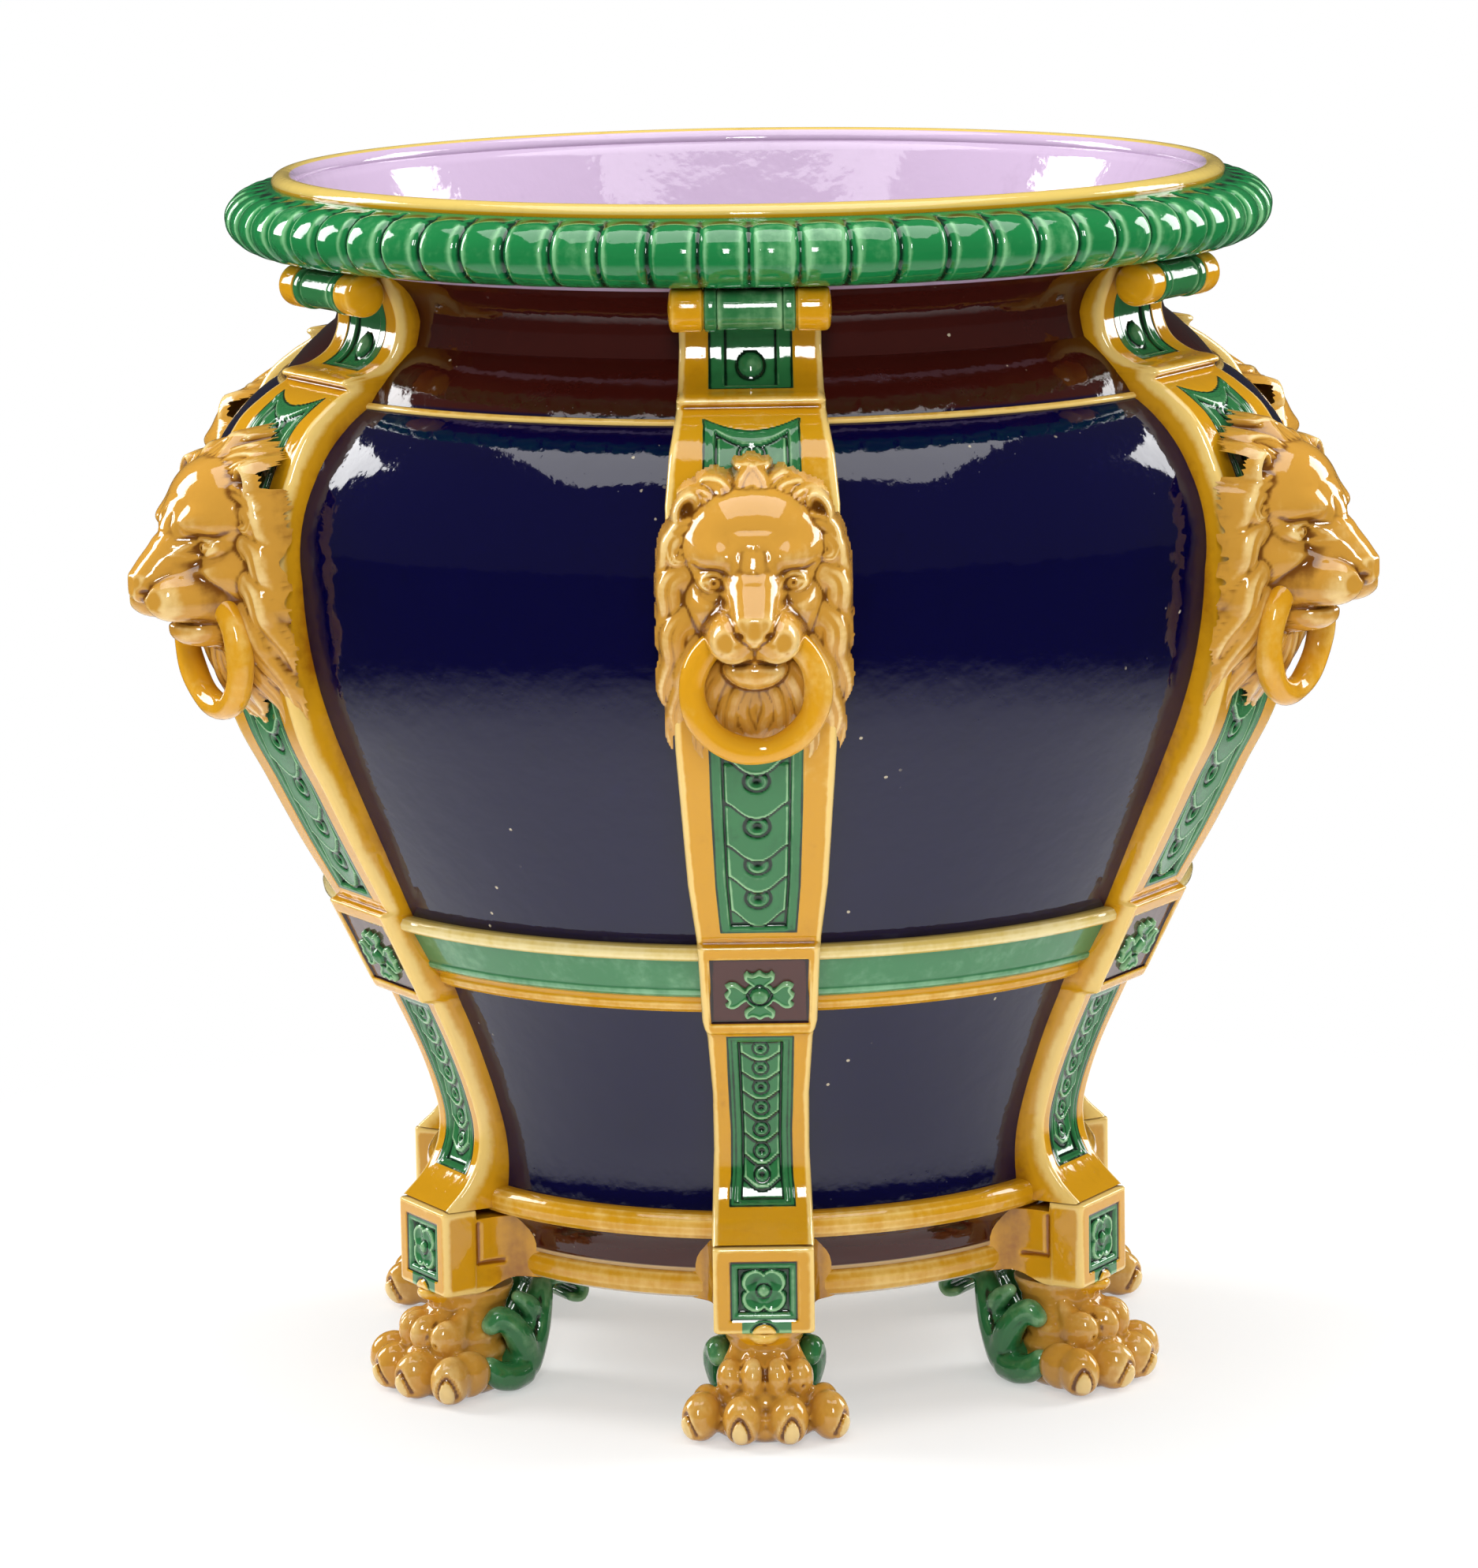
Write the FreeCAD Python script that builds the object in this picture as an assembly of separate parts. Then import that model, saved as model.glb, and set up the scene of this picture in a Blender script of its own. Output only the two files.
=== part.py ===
import FreeCAD, Part
import math
import os

from FreeCAD import Vector

os.makedirs("parts", exist_ok=True)

# A glazed earthenware jardiniere on six lion-paw feet.  Millimetres, +Z up, the
# origin on the floor under the axis of the pot, the front pilaster towards -Y.
# Every ornament is drawn once, in a station frame: +X runs outwards from the
# axis, +Y runs to the right of someone who looks at the pot, +Z is up.
# Each ornament is then set at its station round the pot.

# ---------------------------------------------------------------- driving sizes
STATIONS = 6                    # pilasters, masks and feet round the pot
FRONT_ANGLE = -90.0             # degrees from +X to the front station
GADROONS = 68                   # lobes round the rim
TOTAL_HEIGHT = 496.0
RIM_RADIUS = 215.0              # over the gadroons
MOUTH_RADIUS = 185.5            # clear opening inside the lip
LIP_BASE_Z = 490.5              # top of the wall, under the yellow lip
RIM_BASE_Z = 464.5              # underside of the gadroons
NECK_RADIUS = 190.0             # wall inside the gadroons
SHOULDER_LINE_Z = 412.5         # the fillet between neck and belly
WAIST_TOP_Z = 204.5
WAIST_BOTTOM_Z = 173.5
BAND_TOP_Z = 87.0               # ochre band under the belly
BAND_BOTTOM_Z = 75.5
BASE_TOP_Z = 59.5               # foot ring of the pot
BASE_BOTTOM_Z = 48.0
BLOCK_TOP_Z = 78.5              # square block over each paw
BLOCK_BOTTOM_Z = 43.0
BLOCK_FACE_R = 161.7
BLOCK_BACK_R = 147.0
WEB_TOP_Z = 74.5                # the web that ties the block to the pot
PLAQUE_Z = 60.6                 # middle of the flower in the block's face
BLOCK_WIDTH = 40.5
ROLL_RADIUS = 8.7
ROLL_LENGTH = 63.0
ROLL_CENTRE = (192.0, RIM_BASE_Z - ROLL_RADIUS)
RING_TUBE_RADIUS = 5.5
RING_MEAN_RADIUS = 24.0
RING_CENTRE = (248.0, 317.0)
RING_LEAN = 6.0                 # degrees, foot of the ring towards the pot
PANEL_DEPTH = 1.6               # sinking of the green panels in the pilasters
FLOOR_TOP_Z = 72.0              # inside floor of the pot
OUTSIDE_RUN = 11.0              # the pot's bends are turned in straight runs of about this length
INSIDE_RUN = 24.0               # and its inside in longer ones
INNER_R = 110.0                 # behind every wall, where a luted piece starts before it is cut to fit
REACH = 200.0                   # past the outside of everything, for cutting tools
WRAP = 1.18                     # how far the leaf stands out from the ankle
ROUND_TURN = 360.0


ORIGIN = Vector(0, 0, 0)
X_AXIS, Y_AXIS, Z_AXIS = Vector(1, 0, 0), Vector(0, 1, 0), Vector(0, 0, 1)


# ---------------------------------------------------------------- small helpers
def point(radius, z):
    """A point of a profile in the station's X-Z plane."""
    return Vector(radius, 0, z)


def smooth(points):
    """One smooth edge through the points."""
    curve = Part.BSplineCurve()
    curve.interpolate(points)
    return curve.toShape()


def line(start, end):
    return Part.LineSegment(start, end).toShape()


def arc(start, middle, end):
    return Part.Arc(start, middle, end).toShape()


def path(*steps):
    """Edges end to end.  A step of one point is a straight run, a step of
    several points is a smooth curve through them."""
    edges = []
    pen = steps[0][-1]
    for step in steps[1:]:
        edges.append(line(pen, step[0]) if len(step) == 1 else smooth([pen] + step))
        pen = step[-1]
    return edges


def face_of(edges):
    return Part.Face(Part.Wire(edges))


def turned(edges):
    """A closed profile turned once round the pot's axis."""
    return face_of(edges).revolve(ORIGIN, Z_AXIS, ROUND_TURN)


def bend(start, middle, end, run):
    """An arc drawn as straight runs between points on it, as a turner's rib leaves it."""
    curve = arc(start, middle, end)
    corners = curve.discretize(math.ceil(curve.Length / run) + 1)
    return [line(*pair) for pair in zip(corners, corners[1:])]


def oval_ring(centre, along, across, half_along, half_across, sides):
    """A closed ring of straight sides on an oval, in the plane of two directions."""
    corners = []
    for index in range(sides):
        angle = 2 * math.pi * (index + 0.5) / sides
        reach, width = half_along * math.cos(angle), half_across * math.sin(angle)
        corners.append(centre + along * reach + across * width)
    return Part.makePolygon(corners + [corners[0]])


PEBBLE_LEVELS = [(-1.0, 0.28), (-0.66, 0.8), (0.0, 1.0), (0.66, 0.8), (1.0, 0.28)]


def pebble(centre, semi_axes, tilt=0.0, sides=8):
    """A rounded lump with three half-axes, tipped by tilt degrees about +Y."""
    reach, width, height = semi_axes
    rings = [oval_ring(Vector(0, 0, height * level), X_AXIS, Y_AXIS, reach * share, width * share, sides)
             for level, share in PEBBLE_LEVELS]
    shape = Part.makeLoft(rings, True, True)
    shape.rotate(ORIGIN, Y_AXIS, tilt)
    shape.translate(Vector(*centre))
    return shape


def lock(stops):
    """A tapering lock of hair: six-sided sections lofted along a bent line.
    A stop is (x, y, z, radius)."""
    centres = [Vector(*stop[:3]) for stop in stops]
    rings = []
    for index, stop in enumerate(stops):
        before = centres[max(index - 1, 0)]
        after = centres[min(index + 1, len(stops) - 1)]
        run = (after - before).normalize()
        across = run.cross(X_AXIS).normalize()
        rings.append(oval_ring(centres[index], across.cross(run), across, stop[3], stop[3], 6))
    return Part.makeLoft(rings, True, True)


def both_sides(shape):
    """The shape and its mirror image across the station's middle plane."""
    return [shape, shape.mirror(ORIGIN, Y_AXIS)]


def joined(shapes):
    return shapes[0].multiFuse(shapes[1:]).removeSplitter()


def largest(shape):
    """The biggest solid of a shape, without slivers."""
    return max(shape.Solids, key=lambda solid: solid.Volume)


def at_station(shape, index):
    copy = shape.copy()
    copy.rotate(ORIGIN, Z_AXIS, index * ROUND_TURN / STATIONS + FRONT_ANGLE)
    return copy


def all_stations(shape):
    return [at_station(shape, index) for index in range(STATIONS)]


# ---------------------------------------------------------------- the thrown pot
def body_outline():
    """Outer edges from the underside of the pot up to the wall under the lip."""
    cove_foot, cove_top = point(126.0, BASE_TOP_Z), point(133.0, BAND_BOTTOM_Z)
    belly_foot, ankle = point(133.0, BAND_TOP_Z), point(135.2, 118.0)
    waist_low, waist_high = point(157.5, WAIST_BOTTOM_Z), point(176.0, WAIST_TOP_Z)
    flank, widest = point(210.0, 277.0), point(226.3, 345.0)
    shoulder, throat = point(192.0, SHOULDER_LINE_Z), point(168.8, 444.0)
    wall_foot = point(NECK_RADIUS, RIM_BASE_Z)
    return (
        [line(point(0, BASE_TOP_Z), cove_foot)]
        + bend(cove_foot, point(127.6, 68.5), cove_top, OUTSIDE_RUN)
        + [line(cove_top, belly_foot)]
        + bend(belly_foot, point(132.4, 102.0), ankle, OUTSIDE_RUN)
        + bend(ankle, point(144.2, 145.0), waist_low, OUTSIDE_RUN)
        + [line(waist_low, waist_high)]
        + bend(waist_high, point(193.2, 240.0), flank, OUTSIDE_RUN)
        + bend(flank, point(221.3, 310.0), widest, OUTSIDE_RUN)
        + bend(widest, point(218.8, 387.0), shoulder, OUTSIDE_RUN)
        + bend(shoulder, point(175.6, 425.5), throat, OUTSIDE_RUN)
        + bend(throat, point(174.5, 456.5), wall_foot, OUTSIDE_RUN)
        + [line(wall_foot, point(NECK_RADIUS, LIP_BASE_Z))]
    )


def body_core():
    """The pot without its hollow, which every luted piece is cut to fit."""
    edges = body_outline()
    edges.append(line(point(NECK_RADIUS, LIP_BASE_Z), point(0, LIP_BASE_Z)))
    edges.append(line(point(0, LIP_BASE_Z), point(0, BASE_TOP_Z)))
    return turned(edges)


def body_shell():
    """The pot itself: a wall about a finger thick, closed below by a flat floor."""
    floor_edge, hip = point(112.0, FLOOR_TOP_Z), point(124.5, 112.0)
    flank, widest = point(200.0, 277.0), point(216.8, 345.0)
    throat = point(159.5, 442.0)
    mouth = point(MOUTH_RADIUS, LIP_BASE_Z)
    inside = [line(point(NECK_RADIUS, LIP_BASE_Z), mouth)]
    inside += bend(mouth, point(170.0, 462.0), throat, OUTSIDE_RUN)
    inside += bend(throat, point(205.0, 393.0), widest, INSIDE_RUN)
    inside += bend(widest, point(211.5, 310.0), flank, INSIDE_RUN)
    inside += bend(flank, point(160.5, 196.0), hip, INSIDE_RUN)
    inside += bend(hip, point(121.8, 84.0), floor_edge, INSIDE_RUN)
    inside += [line(floor_edge, point(0, FLOOR_TOP_Z)), line(point(0, FLOOR_TOP_Z), point(0, BASE_TOP_Z))]
    return turned(body_outline() + inside)


def turned_corners(corners):
    """A closed run of straight edges turned round the pot's axis, for the small
    mouldings, whose facets follow the round.  A corner is (radius, z)."""
    points = [point(*corner) for corner in corners]
    return turned([Part.makePolygon(points + [points[0]])])


def lip():
    """The rounded yellow lip that closes the top of the wall."""
    return turned_corners([(MOUTH_RADIUS, LIP_BASE_Z), (195.5, LIP_BASE_Z), (195.6, 493.4), (193.6, 495.4),
                           (190.8, TOTAL_HEIGHT), (187.8, 495.2), (185.8, 493.2)])


def gadroon_wire(radius, z, depth):
    """One level of the gadrooned rim: an arc for each lobe."""
    edges = []
    half = math.pi / GADROONS
    for index in range(GADROONS):
        middle = 2 * half * index
        points = []
        for turn, reach in ((-half, radius - depth), (0.0, radius), (half, radius - depth)):
            angle = middle + turn
            points.append(Vector(reach * math.cos(angle), reach * math.sin(angle), z))
        edges.append(arc(*points))
    return Part.Wire(edges)


def gadrooned_rim():
    """Lobes that swell out from under the lip and curl in to the neck."""
    levels = [(195.8, LIP_BASE_Z, 0.5), (208.0, 488.0, 2.4), (RIM_RADIUS, 480.5, 3.8), (213.6, 471.5, 3.6),
              (203.0, RIM_BASE_Z, 1.6)]
    lobes = Part.makeLoft([gadroon_wire(*level) for level in levels], True, True)
    bore = Part.makeCylinder(NECK_RADIUS, TOTAL_HEIGHT)
    return lobes.cut(bore)


def shoulder_fillet():
    """The thin raised line where the neck meets the belly."""
    z = SHOULDER_LINE_Z
    return turned_corners([(186.0, z - 2.0), (194.0, z - 2.0), (195.2, z - 0.6), (194.0, z + 1.2), (186.0, z + 1.2)])


def waist_band():
    """A moulded belt: a half-round on top, a flat, a thin fillet and a foot."""
    return turned_corners([
        (150.0, WAIST_BOTTOM_Z), (159.0, WAIST_BOTTOM_Z), (162.4, 175.0), (163.8, 178.8), (164.8, 180.4),
        (167.4, 181.2), (167.6, 184.2), (175.8, 198.2), (180.0, 198.6), (181.8, 201.0), (180.6, WAIST_TOP_Z),
        (150.0, WAIST_TOP_Z),
    ])


def lower_band():
    """The rounded ochre band under the belly."""
    return turned_corners([(120.0, BAND_BOTTOM_Z), (137.0, BAND_BOTTOM_Z), (140.2, 77.8), (141.0, 81.0),
                           (140.2, 84.4), (137.0, BAND_TOP_Z), (120.0, BAND_TOP_Z)])


def base_ring():
    """The foot ring that closes the pot below."""
    return turned_corners([(112.0, BASE_BOTTOM_Z), (124.5, BASE_BOTTOM_Z), (127.8, 50.5), (128.6, 53.8),
                           (126.5, BASE_TOP_Z), (108.0, BASE_TOP_Z)])


# ---------------------------------------------------------------- pilasters
def pilaster_side():
    """The strap seen from the side, from the rim down to the foot block."""
    return path(
        [point(INNER_R, RIM_BASE_Z)],
        [point(184.0, RIM_BASE_Z)],
        [point(177.5, 450.0), point(176.5, 440.0), point(180.5, 430.5), point(189.0, 425.0), point(199.8, 423.2)],
        [point(201.0, 421.0)],
        [point(200.0, 418.8)],
        [point(209.0, 412.6), point(219.5, 403.5), point(227.8, 389.0), point(234.0, 372.0), point(237.5, 350.0),
         point(236.5, 325.0), point(226.5, 285.0), point(213.0, 258.0), point(199.5, 232.0), point(186.5, 209.5)],
        [point(185.0, 206.8)],
        [point(188.2, 205.8)],
        [point(171.2, 170.0)],
        [point(164.5, 168.4)],
        [point(152.6, 142.0), point(146.0, 124.0), point(143.0, 110.0), point(144.6, 98.0), point(150.5, 88.0),
         point(BLOCK_FACE_R, BLOCK_TOP_Z)],
        [point(BLOCK_BACK_R, BLOCK_TOP_Z)],
        [point(BLOCK_BACK_R, WEB_TOP_Z)],
        [point(INNER_R, WEB_TOP_Z)],
        [point(INNER_R, RIM_BASE_Z)],
    )


PILASTER_HALF_WIDTH = [(26.0, 464.5), (26.3, 440.0), (28.0, 421.0), (31.2, 404.0), (33.0, 385.0), (32.4, 345.0),
                       (30.6, 290.0), (27.0, 232.0), (23.6, 205.0), (22.2, 172.0), (18.9, 138.0), (18.8, 114.0),
                       (20.2, BLOCK_TOP_Z), (20.2, WEB_TOP_Z)]


def front_prism(right_side):
    """A symmetrical outline seen from the front, pushed through the strap.
    right_side lists (half width, z) from the top to the bottom."""
    right = [Vector(INNER_R, y, z) for y, z in right_side]
    left = [Vector(INNER_R, -y, z) for y, z in right_side]
    edges = [smooth(right), smooth(left), line(right[0], left[0]), line(right[-1], left[-1])]
    return face_of(Part.__sortEdges__(edges)).extrude(X_AXIS * REACH)


def inside_widths(z_top, z_bottom, margin, steps=4):
    """The strap's half width, less a margin, between two heights."""
    widths = []
    for step in range(steps + 1):
        z = z_top + (z_bottom - z_top) * step / steps
        for (wide, high), (narrow, low) in zip(PILASTER_HALF_WIDTH, PILASTER_HALF_WIDTH[1:]):
            if low <= z <= high:
                share = (high - z) / (high - low)
                widths.append((wide + (narrow - wide) * share - margin, z))
                break
    return widths


def both_ways(side, half):
    """A side profile pushed out to both sides of the station's middle plane."""
    solid = side.extrude(Y_AXIS * (2 * half))
    solid.translate(Y_AXIS * -half)
    return solid


def strap_solid(sunk=0.0):
    """The strap's side profile as a solid, moved inwards by sunk."""
    solid = both_ways(face_of(pilaster_side()), ROLL_LENGTH / 2)
    solid.translate(X_AXIS * -sunk)
    return solid


def sunk_panel(strap, prism, depth):
    """Sinks the prism's outline into the strap's face to an even depth."""
    return strap.cut(prism.cut(strap_solid(depth)))


def pilaster(core):
    strap = strap_solid().common(front_prism(PILASTER_HALF_WIDTH))
    scoop = Part.makeCylinder(17.5, REACH, Vector(NECK_RADIUS, 0, 424.0), X_AXIS)
    panels = [
        (front_prism(inside_widths(446.0, 427.5, 11.0, 2)), PANEL_DEPTH),
        (front_prism(inside_widths(411.0, 212.0, 12.5, 8)).cut(scoop), PANEL_DEPTH),
        (front_prism(inside_widths(404.0, 216.0, 16.5, 8)).cut(scoop), 2 * PANEL_DEPTH),
        (front_prism(inside_widths(200.0, 176.0, 4.6, 2)), PANEL_DEPTH),
        (front_prism(inside_widths(166.0, 92.0, 5.4, 4)), PANEL_DEPTH),
        (front_prism(inside_widths(162.0, 95.0, 8.6, 4)), 2 * PANEL_DEPTH),
    ]
    for prism, depth in panels:
        strap = sunk_panel(strap, prism, depth)
    boss = pebble((176.5, 0, 435.5), (5.0, 5.4, 5.4))
    return largest(strap.fuse(boss).cut(core))


def scroll_roll():
    """A bolster across the top of the strap, with a collar and a coil at each end."""
    half = ROLL_LENGTH / 2
    radius = ROLL_RADIUS
    outline = [(0.0, 0.0), (0.0, radius - 0.7), (19.0, radius - 0.7), (19.6, radius), (half - 1.2, radius),
               (half, radius - 1.2), (half, radius - 2.6), (half - 1.4, radius - 3.4), (half - 1.4, 3.2),
               (half, 2.4), (half, 0.0)]
    corners = [Vector(reach, along, 0) for along, reach in outline]
    wire = Part.makePolygon(corners + [corners[0]])
    half_roll = Part.Face(wire).revolve(ORIGIN, Y_AXIS, ROUND_TURN)
    roll = joined(both_sides(half_roll))
    roll.translate(Vector(ROLL_CENTRE[0], 0, ROLL_CENTRE[1]))
    return roll


def waist_sprig():
    """The flower in the block at the waist: four spreading arms and a boss."""
    arm = [(-1.7, 0.0), (-1.7, 5.5), (-6.4, 10.6), (-5.0, 12.6), (-2.0, 11.6), (0.0, 14.0), (2.0, 11.6),
           (5.0, 12.6), (6.4, 10.6), (1.7, 5.5), (1.7, 0.0)]
    corners = [Vector(0, across, along) for across, along in arm]
    petal = Part.Face(Part.makePolygon(corners + [corners[0]])).extrude(X_AXIS * 3.6)
    petals = []
    for turn in (0.0, 90.0, 180.0, 270.0):
        copy = petal.copy()
        copy.rotate(ORIGIN, X_AXIS, turn)
        petals.append(copy)
    flower = joined(petals + [pebble((3.4, 0, 0), (3.0, 3.8, 3.8))])
    flower.rotate(ORIGIN, Y_AXIS, 25.4)
    flower.translate(Vector(176.6, 0, 188.4))
    return flower


# ---------------------------------------------------------------- lion masks
def lion_head():
    """The face: skull drawn out to the muzzle, brows, nose, pads, cheeks and chin.
    A section of the skull is (x, middle z, half width, half height)."""
    sections = [(226.0, 350.0, 31.0, 42.0), (243.0, 354.0, 29.0, 34.0), (254.0, 354.0, 22.0, 25.0),
                (264.0, 350.0, 13.0, 15.0), (275.0, 347.0, 8.5, 8.5), (280.5, 346.0, 7.0, 5.6)]
    rings = [oval_ring(Vector(x, 0, z), Y_AXIS, Z_AXIS, width, height, 12)
             for x, z, width, height in sections]
    middle = [
        Part.makeLoft(rings, True, True),
        pebble((280.0, 0, 348.0), (3.4, 7.4, 4.0), 20.0),
        pebble((257.0, 0, 327.5), (10.5, 11.5, 6.5), 20.0),
    ]
    sides = [
        pebble((267.0, 8.4, 340.5), (12.5, 9.6, 10.0), 20.0),
        pebble((258.5, 13.0, 370.5), (7.6, 11.5, 6.0), 30.0),
        pebble((250.5, 20.5, 349.0), (12.0, 8.6, 13.5), 12.0),
        pebble((259.5, 14.0, 360.6), (4.0, 4.8, 3.6), 0.0, 6),
    ]
    return joined(middle + [part for side in sides for part in both_sides(side)])


def lion_mane():
    """Locks that spring from the crown, sweep past the cheeks and meet below."""
    tufts = [
        [(252.0, 0.0, 380.0, 7.0), (245.0, 1.0, 392.0, 8.5), (236.0, 2.5, 402.0, 3.2)],
        [(250.0, 9.0, 380.0, 6.0), (243.0, 13.0, 391.0, 7.2), (235.0, 15.0, 399.0, 2.8)],
        [(246.0, 18.0, 376.0, 6.0), (240.0, 24.5, 386.0, 7.6), (231.0, 30.0, 394.0, 3.0)],
        [(244.0, 21.0, 370.0, 7.0), (241.0, 32.0, 372.0, 7.6), (234.0, 37.0, 362.0, 3.0)],
        [(246.0, 22.0, 362.0, 8.0), (243.0, 33.0, 355.0, 8.0), (235.0, 37.5, 338.0, 3.0)],
        [(244.0, 22.0, 348.0, 8.0), (240.0, 33.0, 338.0, 7.8), (232.0, 36.5, 318.0, 3.0)],
        [(242.0, 20.0, 336.0, 8.0), (238.0, 31.0, 321.0, 7.4), (230.0, 33.0, 300.0, 2.6)],
        [(240.0, 14.0, 328.0, 8.0), (235.0, 25.0, 307.0, 7.0), (228.0, 25.0, 285.0, 2.4)],
        [(240.0, 8.0, 322.0, 7.5), (234.0, 14.0, 304.0, 6.8), (229.0, 11.0, 288.0, 2.6)],
    ]
    locks = [lock(stops) for stops in tufts]
    hair = [locks[0]]
    for one in locks[1:]:
        hair.extend(both_sides(one))
    beard = lock([(241.0, 0, 324.0, 8.0), (235.0, 0, 303.0, 7.5), (229.0, 0.5, 283.0, 2.2)])
    backing = pebble((229.0, 0, 345.0), (17.0, 34.0, 52.0), 6.0, 12)
    return hair + [beard, backing]


def lion_mask(behind):
    mask = joined([lion_head()] + lion_mane())
    return largest(mask.cut(behind))


def mouth_ring():
    """The whole ring that passes through the lion's mouth, eight-sided in section,
    hung with its foot a little nearer the pot than its top."""
    section = oval_ring(Y_AXIS * RING_MEAN_RADIUS, X_AXIS, Y_AXIS, RING_TUBE_RADIUS, RING_TUBE_RADIUS, 8)
    ring = Part.Face(section).revolve(ORIGIN, X_AXIS, ROUND_TURN)
    ring.rotate(ORIGIN, Y_AXIS, RING_LEAN)
    ring.translate(Vector(RING_CENTRE[0], 0, RING_CENTRE[1]))
    return ring


# ---------------------------------------------------------------- feet
def foot_web():
    """The web that ties the block to the pot, seen from above as a smooth flare."""
    flare = [Vector(BLOCK_BACK_R, 19.4, 0), Vector(138.0, 19.6, 0), Vector(128.0, 23.0, 0), Vector(119.0, 34.0, 0)]
    mirrored = [Vector(at.x, -at.y, 0) for at in flare]
    sides = [smooth(flare), smooth(mirrored), line(flare[0], mirrored[0]), line(flare[-1], mirrored[-1])]
    web = face_of(Part.__sortEdges__(sides)).extrude(Z_AXIS * (WEB_TOP_Z - BLOCK_BOTTOM_Z))
    web.translate(Z_AXIS * BLOCK_BOTTOM_Z)
    return web


def key_cuts():
    """The key incised in each side of the foot: one upright and one level stroke."""
    stroke, inward = 1.6, BLOCK_WIDTH / 2 - 2.2
    upright = Part.makeBox(stroke, stroke, 20.0, Vector(145.6, inward, 54.5))
    level = Part.makeBox(13.0, stroke, stroke, Vector(134.2, inward, 54.5))
    return both_sides(upright) + both_sides(level)


def sunk_square(width, height, base_z, depth):
    """The tool that sinks a square panel in the block's face."""
    return Part.makeBox(REACH, width, height, Vector(BLOCK_FACE_R - depth, -width / 2, base_z))


def foot_block():
    """The square block over the paw, its flower plaque, and the web."""
    half = BLOCK_WIDTH / 2
    block = Part.makeBox(BLOCK_FACE_R - BLOCK_BACK_R, BLOCK_WIDTH, BLOCK_TOP_Z - BLOCK_BOTTOM_Z,
                         Vector(BLOCK_BACK_R, -half, BLOCK_BOTTOM_Z))
    block = block.makeChamfer(1.2, [edge for edge in block.Edges if edge.BoundBox.XMin > BLOCK_FACE_R - 0.01])
    foot = block.fuse(foot_web())
    for cutter in key_cuts() + [sunk_square(26.5, 23.5, 48.8, 1.4), sunk_square(20.5, 18.0, 51.6, 2.6)]:
        foot = foot.cut(cutter)
    petals = []
    for y in (-4.7, 4.7):
        for z in (-3.7, 3.7):
            centre = Vector(BLOCK_FACE_R - 3.6, y, PLAQUE_Z + z)
            petals.append(Part.Face(oval_ring(centre, Y_AXIS, Z_AXIS, 5.3, 4.9, 10)).extrude(X_AXIS * 2.6))
    boss = pebble((BLOCK_FACE_R - 1.2, 0, PLAQUE_Z), (2.2, 2.4, 2.4), 0.0, 6)
    return joined([foot] + petals + [boss])


def ankle(spread=1.0):
    """Heel, ankle and pad of the paw, lofted from oval sections.  Spread widens it.
    A section is (z, middle radius, half length, half width)."""
    sections = [(BLOCK_BOTTOM_Z, 138.0, 22.5, 18.6), (37.0, 140.0, 18.5, 17.4), (27.0, 145.5, 21.5, 19.4),
                (14.0, 148.0, 24.5, 23.5), (4.0, 149.0, 24.5, 24.5), (0.0, 149.5, 22.0, 22.5)]
    rings = [oval_ring(Vector(middle, 0, z), X_AXIS, Y_AXIS, half_length, half_width * spread, 14)
             for z, middle, half_length, half_width in sections]
    return Part.makeLoft(rings, True, True)


def foot_space():
    """The room between the floor and the underside of the block."""
    return Part.makeBox(REACH, REACH, BLOCK_BOTTOM_Z, Vector(60.0, -REACH / 2, 0))


def paw_foot():
    """Four knuckles over four toes, on a flat sole."""
    pieces = [ankle()]
    for y, toe_r, knuckle_r in ((8.6, 168.6, 160.5), (25.0, 161.0, 154.5)):
        toe = pebble((toe_r, y, 11.5), (11.4, 9.2, 12.8))
        knuckle = pebble((knuckle_r, y * 0.76, 24.6), (9.6, 7.6, 9.2), -18.0)
        pieces.extend(both_sides(toe) + both_sides(knuckle))
    pieces.append(pebble((157.0, 0, 41.0), (7.0, 6.0, 4.6)))
    return largest(joined(pieces).common(foot_space()))


def leaf_side():
    """The acanthus leaf seen from the side: a bent spine with two hooked lobes."""
    return path(
        [point(129.0, 0.0)],
        [point(121.5, 6.0), point(116.0, 19.0), point(110.0, 34.0), point(106.5, BLOCK_BOTTOM_Z)],
        [point(122.0, BLOCK_BOTTOM_Z)],
        [point(124.0, 37.0), point(128.0, 31.0)],
        [point(133.0, 36.5), point(140.5, 34.0), point(141.0, 28.0), point(134.5, 26.5), point(131.0, 20.0)],
        [point(131.0, 15.0)],
        [point(137.5, 17.5), point(145.0, 14.5), point(146.0, 7.0), point(141.0, 0.0)],
        [point(129.0, 0.0)],
    )


def acanthus_leaf(paw):
    """A skin of leaf wrapped round the heel, with a curl under the pot."""
    wrap = ankle(WRAP)
    back = pebble((133.0, 0, 20.0), (30.0, 21.0, 46.0), 14.0, 12)
    skin = both_ways(face_of(leaf_side()), BLOCK_WIDTH).common(wrap.fuse(back))
    curl = Part.makeCylinder(5.6, 24.0, Vector(96.5, -12.0, 38.0), Y_AXIS)
    eye = Part.makeCylinder(2.2, 30.0, Vector(95.5, -15.0, 37.0), Y_AXIS)
    stem = Part.makeBox(16.0, 20.0, 5.0, Vector(96.5, -10.0, 38.0))
    leaf = joined([skin, curl.cut(eye), stem])
    return largest(leaf.cut(paw).common(foot_space()))


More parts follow.
